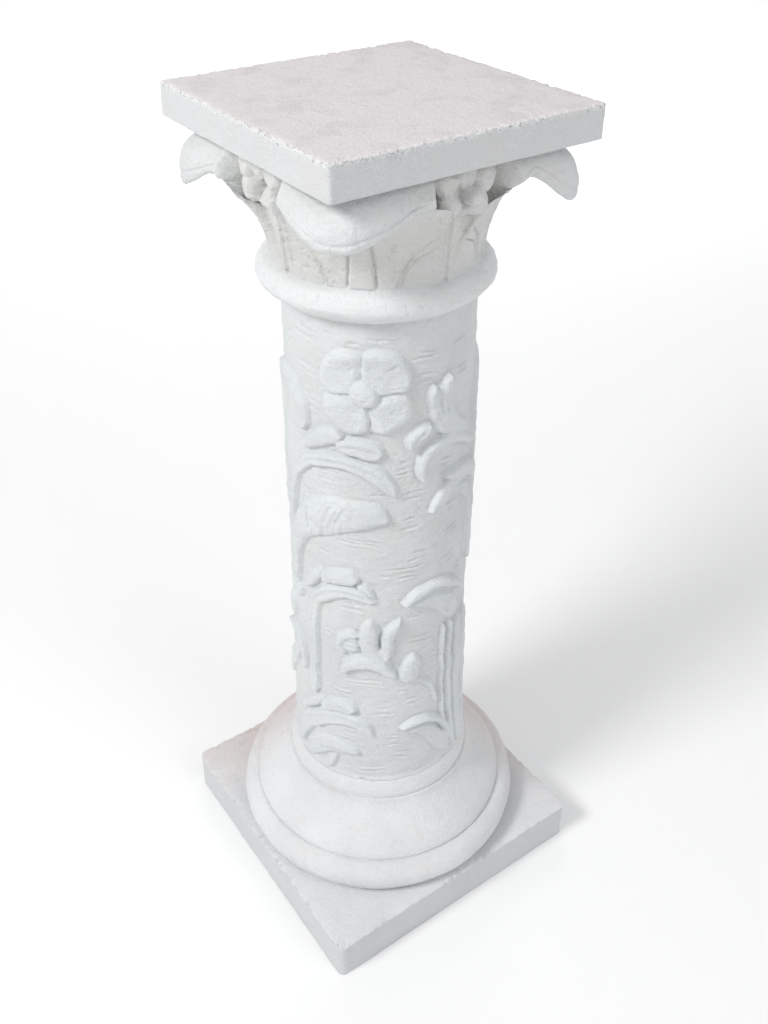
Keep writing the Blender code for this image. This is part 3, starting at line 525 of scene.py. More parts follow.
def follow(line, across, up):
    """For the points near a curved line: which they are, their share of the half width to each side, how far
    along they lie in millimetres, and the half width there. Each point takes the nearest stretch of the line,
    and the line tapers to both ends."""
    line = curve_through(line, LINE_STEPS)
    middle = 0.5 * (line[:, 0].min() + line[:, 0].max())
    line_x = (line[:, 0] - middle) * SHEET_MM_PER_DEGREE
    margin = line[:, 2].max()
    offset = sheet_offset(across, middle) * SHEET_MM_PER_DEGREE
    near = np.abs(offset) < np.abs(line_x).max() + margin
    near &= (up > line[:, 1].min() - margin) & (up < line[:, 1].max() + margin)
    x, y = offset[near][:, None], up[near][:, None]
    step_x, step_y = np.diff(line_x), np.diff(line[:, 1])
    length = np.hypot(step_x, step_y)
    gap_x, gap_y = x - line_x[:-1], y - line[:-1, 1]
    along = np.clip((gap_x * step_x + gap_y * step_y) / length**2, 0.0, 1.0)
    away = np.hypot(gap_x - along * step_x, gap_y - along * step_y)
    width = np.maximum(line[:-1, 2] + along * np.diff(line[:, 2]), LEAST_WIDTH)
    side = np.sign(gap_x * step_y - gap_y * step_x)
    started = np.cumsum(length) - length
    to_end = started + along * length
    to_end = np.minimum(to_end, length.sum() - to_end)
    width = width * (TIP_WIDTH + (1.0 - TIP_WIDTH) * smooth(to_end / TIP_LENGTH))
    best = (away / width).argmin(axis=1)[:, None]
    pick = lambda values: np.take_along_axis(np.broadcast_to(values, away.shape), best, axis=1)[:, 0]
    return near, pick(side * away / width), pick(started + along * length), pick(width)


def carve_band(depth, across, up, band):
    """Raise a band: a plump cushion across its half width, steep at its edges, which a groove may part along
    its middle. A veined one has two shallow side veins, a rope one slanting turns, and a feathered one fine
    hairs, which are noise drawn out along a slant."""
    rise, groove, kind, line = band
    near, side, along, width = follow(line, across, up)
    cushion = dome(np.abs(side), BAND_ROUNDING) - GROOVE_SHARE * groove * swell(side, GROOVE_WIDTH)
    if kind == "veined":
        for vein in SIDE_VEINS:
            cushion = cushion - SIDE_VEIN_DEPTH * swell((side - vein) * width, SIDE_VEIN_WIDTH)
    if kind == "rope":
        turns = along / ROPE_TURN + ROPE_SLANT * side
        cushion = cushion - ROPE_DEPTH * (1.0 + np.sin(2.0 * np.pi * turns))
    if kind == "feather":
        out = side * width
        slant = np.stack([along + HAIR_SLANT * out, out / HAIR_STRETCH, 0.0 * along], axis=-1)
        hairs = noise(slant, HAIR_SIZES[0], 5) + HAIR_FINE_SHARE * noise(slant, HAIR_SIZES[1], 6)
        started = smooth((along - HAIR_START[0]) / (HAIR_START[1] - HAIR_START[0]))
        cushion = HAIR_BED * cushion + HAIR_DEPTH * hairs * np.sqrt(cushion.clip(0.0)) * started
    depth[near] = np.maximum(depth[near], rise * cushion)


def carve_lines(depth, across, up, rise, lines):
    """Add fine ridges, or grooves where the rise is negative, along lines, on what is already raised."""
    for line in lines:
        near, side, _, _ = follow(line, across, up)
        depth[near] += rise * swell(side, LINE_WIDTH) * (np.abs(side) < 1.0) * smooth(2.0 * depth[near])


def carve_mound(depth, across, up, rise, middle, half_widths):
    """Raise a mound: a quarter-round rim on an oval, nearly flat in its middle."""
    x = sheet_offset(across, middle[0]) * SHEET_MM_PER_DEGREE / half_widths[0]
    y = (up - middle[1]) / half_widths[1]
    np.maximum(depth, rise * dome(np.hypot(x, y), 4), out=depth)


def carve_bloom(depth, across, up):
    """Raise the large flower. Each petal fills a sector, whose rim is an arc drawn in at the creases. Its
    height falls by a square root at the rim, dips inside a rolled edge, and slopes away under a neighbour
    that lies over it. The bead in the middle is a rounded knob."""
    x = sheet_offset(across, BLOOM_MIDDLE[0]) * SHEET_MM_PER_DEGREE
    y = up - BLOOM_MIDDLE[1]
    away = np.hypot(x, y)
    turn = np.degrees(np.arctan2(y, x))
    flower = np.zeros(depth.shape)
    for middle, half, first_over, last_over, dish in BLOOM_PETALS:
        offset = (turn - middle + 180.0) % 360.0 - 180.0
        bow = np.clip(np.cos(0.5 * np.pi * offset / half), 0.0, 1.0)
        share = away / (BLOOM_RADIUS * (BLOOM_NOTCH + (1.0 - BLOOM_NOTCH) * bow**BLOOM_BOW))
        petal = dome(share, BLOOM_STEEPNESS)
        petal += BLOOM_EDGE_RISE * swell(share - BLOOM_EDGE[0], BLOOM_EDGE[1]) * (share < 1.0)
        petal -= dish * swell(share - BLOOM_DISH[0], BLOOM_DISH[1]) * np.sqrt(bow)
        for edge, over in ((half + offset, first_over), (half - offset, last_over)):
            kept, slope = BLOOM_BESIDE if over else BLOOM_UNDER
            past = np.radians(np.clip(edge, 0.0, 60.0)) * away
            petal *= kept + (1.0 - kept) * smooth(past / slope)
        flower = np.where(np.abs(offset) <= half, petal, flower)
    np.maximum(depth, BLOOM_RISE * flower, out=depth)
    carve_lines(depth, across, up, FOLD_RISE, FOLDS)
    bead = BLOOM_BEAD_BASE + BLOOM_BEAD_RISE * dome(away / BLOOM_BEAD, BAND_ROUNDING)
    np.maximum(depth, bead * (away < BLOOM_BEAD), out=depth)


def bark(across, up):
    """Cuts of the bark strokes: a fine groove with a raised lip under it, tapering to both ends. Each
    stroke's length, shift and wave come from sines of its height, so that no two are alike."""
    cut = np.zeros(across.shape)
    for start, end, rise, heights in STROKES:
        middle, reach = 0.5 * (start + end), 0.5 * (end - start)
        offset = sheet_offset(across, middle)
        near = np.abs(offset) < STROKE_NEAR[0] * reach
        near &= np.abs(up - np.mean(heights)) < STROKE_NEAR[1]
        offset, level = offset[near], up[near]
        for height in heights:
            shift = STROKE_SHIFT[0] * reach * np.sin(STROKE_SHIFT[1] * height)
            extent = reach * (STROKE_LENGTH[0] + STROKE_LENGTH[1] * np.sin(STROKE_LENGTH[2] * height))
            fade = 1.0 - smooth((np.abs(offset + shift) / extent - STROKE_FADE[0]) / STROKE_FADE[1])
            wave = STROKE_WAVE[0] * np.sin(offset / STROKE_WAVE[1] + height)
            bow = height + 0.5 * rise * offset / reach + wave
            drop = level - bow + STROKE_SAG * (offset / reach) ** 2
            lip = STROKE_LIP[0] * swell(drop + STROKE_LIP[2], STROKE_LIP[1])
            cut[near] += fade * (lip - STROKE_CUT[0] * swell(drop, STROKE_CUT[1]))
    return cut


def air_holes(across, up, skin):
    """Depth of small air holes, in metres: the peaks of fine noise, crowded in the pitted patches and few
    elsewhere."""
    patch = np.zeros(across.shape)
    for middle, height, reach in PITS:
        away = np.hypot(sheet_offset(across, middle) * SHEET_MM_PER_DEGREE, up - height)
        patch = np.maximum(patch, 1.0 - smooth(away / reach))
    depth = HOLE_DEPTH[0] + HOLE_DEPTH[1] * patch
    return depth * holes(skin, HOLE_SIZE, 91, HOLE_LEVEL[0] - HOLE_LEVEL[1] * patch)


def carving(across, up, skin):
    """How far the carving stands proud of the shaft, in metres, on the sheet. Its lines waver and its heights
    vary by noise, as modelled plaster does. Its edges are made crisp: what lies lower than its surroundings
    is cut deeper, and what lies higher is raised a little."""
    across = across + WAVER[0] * rough(skin, WAVER_SIZE, 101, 2)
    up = up + WAVER[1] * rough(skin, WAVER_SIZE, 107, 2)
    depth = np.zeros(across.shape)
    for band in BANDS:
        carve_band(depth, across, up, band)
    for rise, middle, half_widths in MOUNDS:
        carve_mound(depth, across, up, rise, middle, half_widths)
    carve_bloom(depth, across, up)
    carve_lines(depth, across, up, GROOVE_RISE, GROOVES)
    depth = spread(depth, 1) * (1.0 + UNEVEN * rough(skin, UNEVEN_SIZE, 113, 2))
    crisp = depth - spread(depth, 5)
    ground = 1.0 - smooth(depth / 0.15)
    depth = depth + CRISP_LOW * np.minimum(crisp, 0.0) + CRISP_HIGH * np.maximum(crisp, 0.0)
    return RELIEF_HEIGHT * (depth + bark(across, up) * ground)


# Leaf lip in section, from the blade over the hollow under the curl, round the tip and back up under the
# slab: shares of the reach beyond the bell and of the drop below the slab
LIP_MIDDLE = (
    (0.500, 0.840), (0.600, 0.785), (0.735, 0.800), (0.850, 0.905), (0.925, 1.000), (0.980, 0.955),
    (1.000, 0.800), (0.985, 0.600), (0.900, 0.330), (0.700, 0.130), (0.460, -0.020), (0.300, -0.110),
)
LIP_END = (
    (0.440, 0.680), (0.470, 0.600), (0.500, 0.560), (0.530, 0.540), (0.555, 0.530), (0.572, 0.490),
    (0.570, 0.420), (0.550, 0.330), (0.505, 0.220), (0.430, 0.090), (0.360, -0.020), (0.300, -0.110),
)

# The same for the leaf on the right, whose lip is a narrow hook over a deep hollow
HOOK_MIDDLE = (
    (0.330, 0.640), (0.480, 0.570), (0.640, 0.610), (0.790, 0.800), (0.910, 1.000), (0.980, 0.960),
    (1.000, 0.800), (0.985, 0.600), (0.900, 0.330), (0.700, 0.130), (0.460, -0.020), (0.300, -0.110),
)
HOOK_END = (
    (0.350, 0.640), (0.400, 0.570), (0.450, 0.510), (0.500, 0.460), (0.535, 0.425), (0.555, 0.370),
    (0.555, 0.300), (0.535, 0.220), (0.490, 0.140), (0.420, 0.050), (0.360, -0.030), (0.300, -0.110),
)
LIP_TIP_ROW = BLADE_ROWS + 4 * LIP_STEPS

# Veins on a blade: heights above the ring in millimetres, and degrees from the leaf's middle there
VEINS = (
    ((0.0, 15.0, 29.0, 37.0, 46.0), (17.0, 19.4, 25.0, 30.6, 37.0)),
    ((0.0, 14.0, 25.0, 30.0, 36.0), (19.0, 21.0, 27.0, 34.0, 41.0)),
)

# The petals of a side flower: middle across and up, and radius, as shares of the flower's radius
PETALS = (
    (-0.68, 0.35, 0.45), (0.58, 0.30, 0.45), (0.38, -0.32, 0.41), (-0.57, -0.27, 0.43), (-0.08, 0.46, 0.42),
)
# The disc that fills the gaps between them: its radius as a share of the flower's, and its depth behind the
# front
FLOWER_DISC = 0.62
DISC_DEPTH = 0.0062
# A petal: waving of its rim, power of its dome, and depth and width of its hollow; and how deep the bead sits
PETAL_WAVE = 0.07
PETAL_DOME = 2.2
PETAL_HOLLOW = (0.0016, 0.35)
BEAD_SUNK = 0.4

# Flare of a blade, as shares of a steady one and a late one with their powers, and the power of the bell's
BLADE_FLARES = ((0.9, 1.9), (0.1, 8))
BELL_FLARE_POWER = 1.3
RING_END_ANGLE = 66.0

# The leaf's edge: power of its taper, and degrees by which it waves
LEAF_TAPER_POWER = 1.2
LEAF_EDGE_WAVE = 0.8
# The spear between two leaves: half width at its foot and spread, soft edge in degrees, and height in metres
SPEAR_HALF_ANGLE = 0.8
SPEAR_SPREAD = 4.0
SPEAR_EDGE = 1.4
SPEAR_HEIGHT = 0.0024
# Relief on a blade, as (depth or height in metres, width): the grooves beside the midrib in metres, the cut
# and bank of a vein in degrees, and the rim along the edge in degrees
RIB_GROOVE = (0.0018, 0.0012)
VEIN_CUT = (0.0014, 0.6)
VEIN_BANK = (0.0008, 0.8)
BANK_OFFSET = 1.5
EDGE_RIM = (0.0016, 1.3)
EDGE_RIM_INSET = 2.2
# Relief on a lip: its border line in rows and its seam in degrees, as (depth or height, width)
LIP_BORDER = (0.0011, 1.3)
LIP_SEAM = (0.0007, 0.6)

# Rows of a slab's skin over its faces, lower arris, side and upper arris, and how far in its faces reach
FACE_ROWS = 15
LOW_ARRIS_ROWS = 5
SIDE_ROWS = 14
TOP_ARRIS_ROWS = 9
FACE_REACH = 0.93
# Wear of a slab: power of the arris's rounding, the lower arris's share of the wear, waving of the sides and
# chips along the upper arris, as (depth, size) in metres
ARRIS_POWERS = (1.5, 1.35)
LOW_WEAR = 0.35
SIDE_WAVE = (0.0005, 0.035)
CHIPS = (0.0012, 0.0045)
ARRIS_HOLES = (0.0012, 0.0032)

# Heights count for more than widths in noise that is drawn out round a piece
DRAWN_ROUND = np.array([1.0, 1.0, 2.5])
BRUSHED_ROUND = np.array([1.0, 1.0, 3.2])

# Surfaces, as (height or depth, size) in metres: lumps, brush ridges, grit, pits of the flowers, and the
# pinholes' depth
SHAFT_LUMPS = (0.00045, 0.022)
SHAFT_RIDGES = (0.00030, 0.012)
SHAFT_GRIT = (0.00018, 0.0034)
BASE_LUMPS = (0.0005, 0.030)
BASE_RIDGES = (0.00018, 0.008)
BASE_HOLE_DEPTH = 0.0006
CAPITAL_LUMPS = (0.0006, 0.020)
CAPITAL_GRIT = (0.00028, 0.006)
FLOWER_PITS = (0.0013, 0.0070)
CAPITAL_HOLE_DEPTH = 0.0008
# Bedding of the shaft's foot: its spread, and its unevenness and holes as (height or depth, size), in metres,
# and how far up it and its holes reach in millimetres
BEDDING_SPREAD = 0.0016
BEDDING_UNEVEN = (0.0009, 0.012)
BEDDING_HOLES = (0.0016, 0.0055)
BEDDING_REACH = 5.0
BEDDING_HOLES_REACH = 2.6


def lip_points(section):
    """A lip's section as a fine curve, with room for the angles."""
    return curve_through(section, LIP_STEPS)[:, None, :]


def leaf_sections(angle):
    """The lip's section at each angle: full near each leaf's middle, shallow near its ends, and a soft step
    from one to the other between two angles."""
    leaf = (angle // 90.0).astype(int) % 4
    hooked = (leaf == HOOKED_LEAF)[None, :, None]
    middle = np.where(hooked, lip_points(HOOK_MIDDLE), lip_points(LIP_MIDDLE))
    end = np.where(hooked, lip_points(HOOK_END), lip_points(LIP_END))
    off_leaf = angle % 90.0 - 45.0
    flat, half = np.array(LIP_FLAT_ANGLES)[leaf], np.array(LIP_HALF_ANGLES)[leaf]
    past_flat = np.abs(off_leaf) + np.array(LIP_SKEWS)[leaf] * np.sign(off_leaf) - flat
    full = 1.0 - smooth(past_flat / (half - flat))
    drop = LIP_DROP * np.array(LIP_DROP_SHARES)[leaf]
    section = end + (middle - end) * full[None, :, None]
    return BELL_RADIUS + LEAF_REACH * section[:, :, 0], SLAB_FOOT - drop * section[:, :, 1]


def blade_sections(top_radius, top_height):
    """The blade from the ring up to the lip: its radius grows by two powers of its height, so that it flares
    ever more as it rises."""
    share = np.linspace(0.0, 1.0, BLADE_ROWS, endpoint=False)[:, None]
    flare = sum(part * share**power for part, power in BLADE_FLARES)
    radius = BELL_RADIUS + (top_radius - BELL_RADIUS)[None, :] * flare
    return radius, BELL_FOOT + (top_height - BELL_FOOT)[None, :] * share


def ring_profile():
    """The ring under the bell, in section: a half round whose lower half droops towards the shaft."""
    steps = np.radians(np.linspace(-90.0, RING_END_ANGLE, RING_STEPS))
    out, up = np.cos(steps), np.sin(steps)
    out = np.where(up < 0.0, np.clip(out, 0.0, None) ** RING_DROOP, out)
    up = np.where(up < 0.0, -(np.abs(up) ** RING_DROOP), up)
    radius = SHAFT_TOP_RADIUS + RING_SEAT + RING_DEPTH * out
    return np.stack([radius, CAPITAL_FOOT + RING_HEIGHT / 2 * (1.0 + up)], axis=-1)


def flower_front(side_offset, height):
    """Radius at which a flower's front lies: domed petals, each with a hollow, on a disc round a bead, on the
    flat of the side. How far across a point lies depends on its radius, so it is worked out four times."""
    turn = np.radians(side_offset)
    up = (height - BELL_FOOT - FLOWER_RISE) / FLOWER_RADIUS
    bead = BEAD_RADIUS / FLOWER_RADIUS
    radius = np.full(np.broadcast(turn, height).shape, FLOWER_FRONT)
    for _ in range(4):
        across = radius * np.sin(turn) / FLOWER_RADIUS
        front = np.zeros_like(radius)
        for petal_across, petal_up, petal in PETALS:
            off_across, off_up = across - petal_across, up - petal_up
            lobes = 1.0 + PETAL_WAVE * np.sin(3.0 * np.arctan2(off_up, off_across) + 9.0 * petal_across)
            share = np.hypot(off_across, off_up) / (petal * lobes)
            face = FLOWER_FRONT - PETAL_DEPTH * (1.0 - dome(share, PETAL_DOME))
            face = face - PETAL_HOLLOW[0] * swell(share, PETAL_HOLLOW[1])
            front = np.maximum(front, np.where(share < 1.0, face, 0.0))
        away = np.hypot(across, up)
        front = np.maximum(front, np.where(away < FLOWER_DISC, FLOWER_FRONT - DISC_DEPTH, 0.0))
        knob = (BEAD_PROUD + 1.0 + BEAD_SUNK) * dome(away / bead) - BEAD_SUNK
        front = np.maximum(front, np.where(away < bead, FLOWER_FRONT + BEAD_RADIUS * knob, 0.0))
        radius = np.where(front > 0.0, front / np.cos(turn), radius)
    return np.where(front > 0.0, radius, 0.0)


def slab_radius(angle, half, corner):
    """Plan of a square with rounded corners, as the radius at each angle: its side, or the corner's arc."""
    turn = np.radians(np.abs((angle + 45.0) % 90.0 - 45.0))
    side = half / np.cos(turn)
    middle = half - corner
    toward = middle * (np.cos(turn) + np.sin(turn))
    across = np.sqrt(np.clip(toward**2 - 2 * middle**2 + corner**2, 0.0, None))
    return np.where(half * np.tan(turn) > middle, toward + across, side)


def corner_crowded(columns):
    """Angles round a square, with more of them near its corners, so that steps along the sides are even."""
    turn = np.linspace(-1.0, 1.0, columns // 4, endpoint=False)
    quarter = np.degrees(np.arctan(turn))
    return np.concatenate([quarter + 90.0 * side for side in range(4)])


def worn_slab(name, side, low, high, corner, seed, wear, dents):
    """A square slab as a closed skin: flat faces, sides that wave a little, arrises rounded by a power curve
    whose depth varies by noise, chips and small holes along the upper arris, and single dents, each a rounded
    hollow with its middle, reach and depth."""
    angle = corner_crowded(SLAB_COLUMNS)
    half = side / 2
    outline = slab_radius(angle, half, corner)
    plan = ring_points(outline, angle, np.zeros_like(angle))
    crumb = np.clip(0.5 + 0.6 * rough(plan, 0.016, seed, 2), 0.1, 1.4)
    fine = np.clip(rough(plan, 0.0040, seed + 9, 2), -1.0, 1.0)
    top_cut = wear * (0.65 + 0.6 * crumb + 0.34 * fine).clip(0.25)
    low_cut = LOW_WEAR * wear * (0.8 + crumb)
    low_power, top_power = ARRIS_POWERS
    inset, level = [], []
    for share in np.linspace(FACE_REACH, 0.0, FACE_ROWS)[:-1]:
        inset.append(half * share + 0.0 * angle)
        level.append(low + 0.0 * angle)
    for share in np.linspace(0.0, 1.0, LOW_ARRIS_ROWS):
        inset.append(low_cut * (1.0 - share) ** low_power)
        level.append(low + low_cut * share**low_power)
    for share in np.linspace(0.0, 1.0, SIDE_ROWS)[1:-1]:
        inset.append(0.0 * angle)
        level.append(low + low_cut + (high - low - low_cut - top_cut) * share)
    for share in np.linspace(0.0, 1.0, TOP_ARRIS_ROWS):
        inset.append(top_cut * share**top_power)
        level.append(high - top_cut * (1.0 - share) ** top_power)
    for share in np.linspace(0.0, FACE_REACH, FACE_ROWS)[1:]:
        inset.append(np.maximum(top_cut, half * share))
        level.append(high + 0.0 * angle)
    inset, level = np.array(inset), np.array(level)
    radius = outline[None, :] * (1.0 - inset / half)
    rows = ring_points(radius, np.broadcast_to(angle, radius.shape), level)
    on_side = smooth(1.0 - inset / (2.0 * wear)) * smooth((high - level) / 0.004)
    wave = SIDE_WAVE[0] * (rough(rows * DRAWN_ROUND, SIDE_WAVE[1], seed + 3) - 0.9) * on_side
    near_arris = swell(inset, 2.6 * wear) * smooth((level - high + 0.006) / 0.005)
    chips = CHIPS[0] * np.clip(rough(rows, CHIPS[1], seed + 5) - 0.15, 0.0, None) * near_arris
    chips += ARRIS_HOLES[0] * holes(rows, ARRIS_HOLES[1], seed + 7, 0.52, 0.12) * near_arris
    for middle, reach, depth in dents:
        chips += depth * np.exp(-((np.linalg.norm(rows - middle, axis=-1) / reach) ** 4))
    rows = rows + outward(rows) * np.minimum(wave - chips, 0.0)[..., None]
    return closed_grid(name, rows)


# How deep the arrises of the plinth and the slab are worn, and single dents: middle, reach and depth, all in
# metres
PLINTH_WEAR = 0.0011
SLAB_WEAR = 0.0013
PLINTH_DENTS = (
    ((-0.0930, -0.1445, 0.0415), 0.0026, 0.0016),
    ((-0.0890, -0.1445, 0.0420), 0.0016, 0.0010),
    ((0.0700, -0.1445, 0.0330), 0.0030, 0.0012),
    ((-0.1445, 0.0100, 0.0405), 0.0022, 0.0010),
)
SLAB_DENTS = (
    ((-0.0700, -0.1226, 0.7960), 0.0018, 0.0014),
    ((-0.0660, -0.1226, 0.7935), 0.0013, 0.0012),
    ((-0.0735, -0.1226, 0.7925), 0.0012, 0.0011),
    ((0.0150, -0.1226, 0.7975), 0.0022, 0.0010),
    ((-0.1226, 0.0400, 0.7980), 0.0026, 0.0012),
)


# Pieces


def make_shaft(finish):
    """Tapered shaft: its radius falls evenly from foot to top, the carving stands on it, and slow lumps,
    brush ridges, grit and air holes are added along the radius. Its foot spreads a little in its bedding,
    which has small holes."""
    angle = np.linspace(0.0, 360.0, SHAFT_COLUMNS, endpoint=False)[None, :]
    share = np.linspace(0.0, 1.0, SHAFT_ROWS)[:, None]
    angle, share = np.broadcast_arrays(angle, share)
    across, up = sheet_offset(angle, SHEET_MIDDLE), share * SHEET_LENGTH
    radius = SHAFT_FOOT_RADIUS + (SHAFT_TOP_RADIUS - SHAFT_FOOT_RADIUS) * share
    height = SHAFT_LOW + (SHAFT_HIGH - SHAFT_LOW) * share
    skin = ring_points(radius, angle, height)
    lumps = SHAFT_LUMPS[0] * rough(skin, SHAFT_LUMPS[1], 3)
    lumps += SHAFT_RIDGES[0] * rough(skin * BRUSHED_ROUND, SHAFT_RIDGES[1], 11)
    grit = SHAFT_GRIT[0] * rough(skin, SHAFT_GRIT[1], 17, 2)
    bedding = BEDDING_SPREAD + BEDDING_UNEVEN[0] * rough(skin, BEDDING_UNEVEN[1], 23, 2)
    bedding *= 1.0 - smooth(up / BEDDING_REACH)
    low = 1.0 - smooth(up / BEDDING_HOLES_REACH)
    bedding -= BEDDING_HOLES[0] * holes(skin, BEDDING_HOLES[1], 29, 0.38, 0.12) * low
    relief = carving(across, up, skin) * smooth((up - 1.0) / 6.0)
    radius = radius + relief + lumps + grit - air_holes(across, up, skin) + bedding
    shaft = new_object("shaft_carved", closed_grid("shaft_carved", ring_points(radius, angle, height)))
    settle(shaft, finish, 60.0)
    return shaft


def turned_profile():
    """Half section of the base's mouldings: torus, fine groove, neck that sweeps from bulge to hollow, fine
    groove and soft-topped collar, as (radius, height)."""
    half_torus = TORUS_HEIGHT / 2
    torus = arc((TORUS_RADIUS - half_torus, PLINTH_HEIGHT + half_torus), half_torus, half_torus, -86, 84, 34)
    torus[0, 1] = PLINTH_HEIGHT - 0.004
    neck_foot = PLINTH_HEIGHT + TORUS_HEIGHT
    neck_low, neck_high = TORUS_RADIUS - NECK_SETBACK, COLLAR_RADIUS + COLLAR_STEP
    low_groove = np.array([(neck_low - 0.0011, neck_foot - 0.0002), (neck_low - 0.0013, neck_foot + 0.0004)])
    share = np.linspace(0.0, 1.0, 38)[1:]
    sweep = neck_low + (neck_high - neck_low) * smooth(share)
    neck = np.stack([sweep, neck_foot + NECK_HEIGHT * share], axis=-1)
    collar_foot = neck_foot + NECK_HEIGHT
    rise = BASE_TOP - collar_foot
    fillet = np.array(
        [
            (COLLAR_RADIUS + 0.0008, collar_foot + 0.0006),
            (COLLAR_RADIUS - 0.0007, collar_foot + 0.0007),
            (COLLAR_RADIUS - 0.0008, collar_foot + 0.0013),
        ]
    )
    collar = curve_through(
        (
            (COLLAR_RADIUS + 0.0002, collar_foot + 0.0022),
            (COLLAR_RADIUS + 0.0002, collar_foot + 0.32 * rise),
            (COLLAR_RADIUS - 0.0015, collar_foot + 0.62 * rise),
            (COLLAR_TOP_RADIUS + 0.0016, collar_foot + 0.87 * rise),
            (COLLAR_TOP_RADIUS + 0.0003, BASE_TOP - 0.0005),
            (COLLAR_TOP_RADIUS - 0.0030, BASE_TOP),
        ),
        5,
    )
    return np.vstack([torus, low_groove, neck, fillet, collar])


def make_base(finish):
    """Worn square plinth joined to the turned mouldings, whose surface wobbles a little by noise and has a
    few pinholes."""
    profile = turned_profile()
    angle = np.linspace(0.0, 360.0, TURNED_COLUMNS, endpoint=False)[None, :]
    radius, height = profile[:, :1] + 0.0 * angle, profile[:, 1:] + 0.0 * angle
    skin = ring_points(radius, np.broadcast_to(angle, radius.shape), height)
    free = smooth((height - PLINTH_HEIGHT) / 0.004)
    lumps = BASE_LUMPS[0] * (rough(skin, BASE_LUMPS[1], 41) - 0.8)
    lumps += BASE_RIDGES[0] * rough(skin * DRAWN_ROUND, BASE_RIDGES[1], 47)
    lumps -= BASE_HOLE_DEPTH * holes(skin, HOLE_SIZE, 53, 0.66)
    lumps *= smooth((BASE_TOP + 0.0001 - height) / 0.0008)
    skin = skin + outward(skin) * (lumps * free)[..., None]
    mouldings = new_object("mouldings", closed_grid("mouldings", skin))
    plinth = worn_slab(
        "base_moulded", PLINTH_SIDE, 0.0, PLINTH_HEIGHT, PLINTH_CORNER, 61, PLINTH_WEAR, PLINTH_DENTS
    )
    base = new_object("base_moulded", plinth)
    union(base, mouldings)
    settle(base, finish)
    bpy.data.objects.remove(mouldings)
    return base


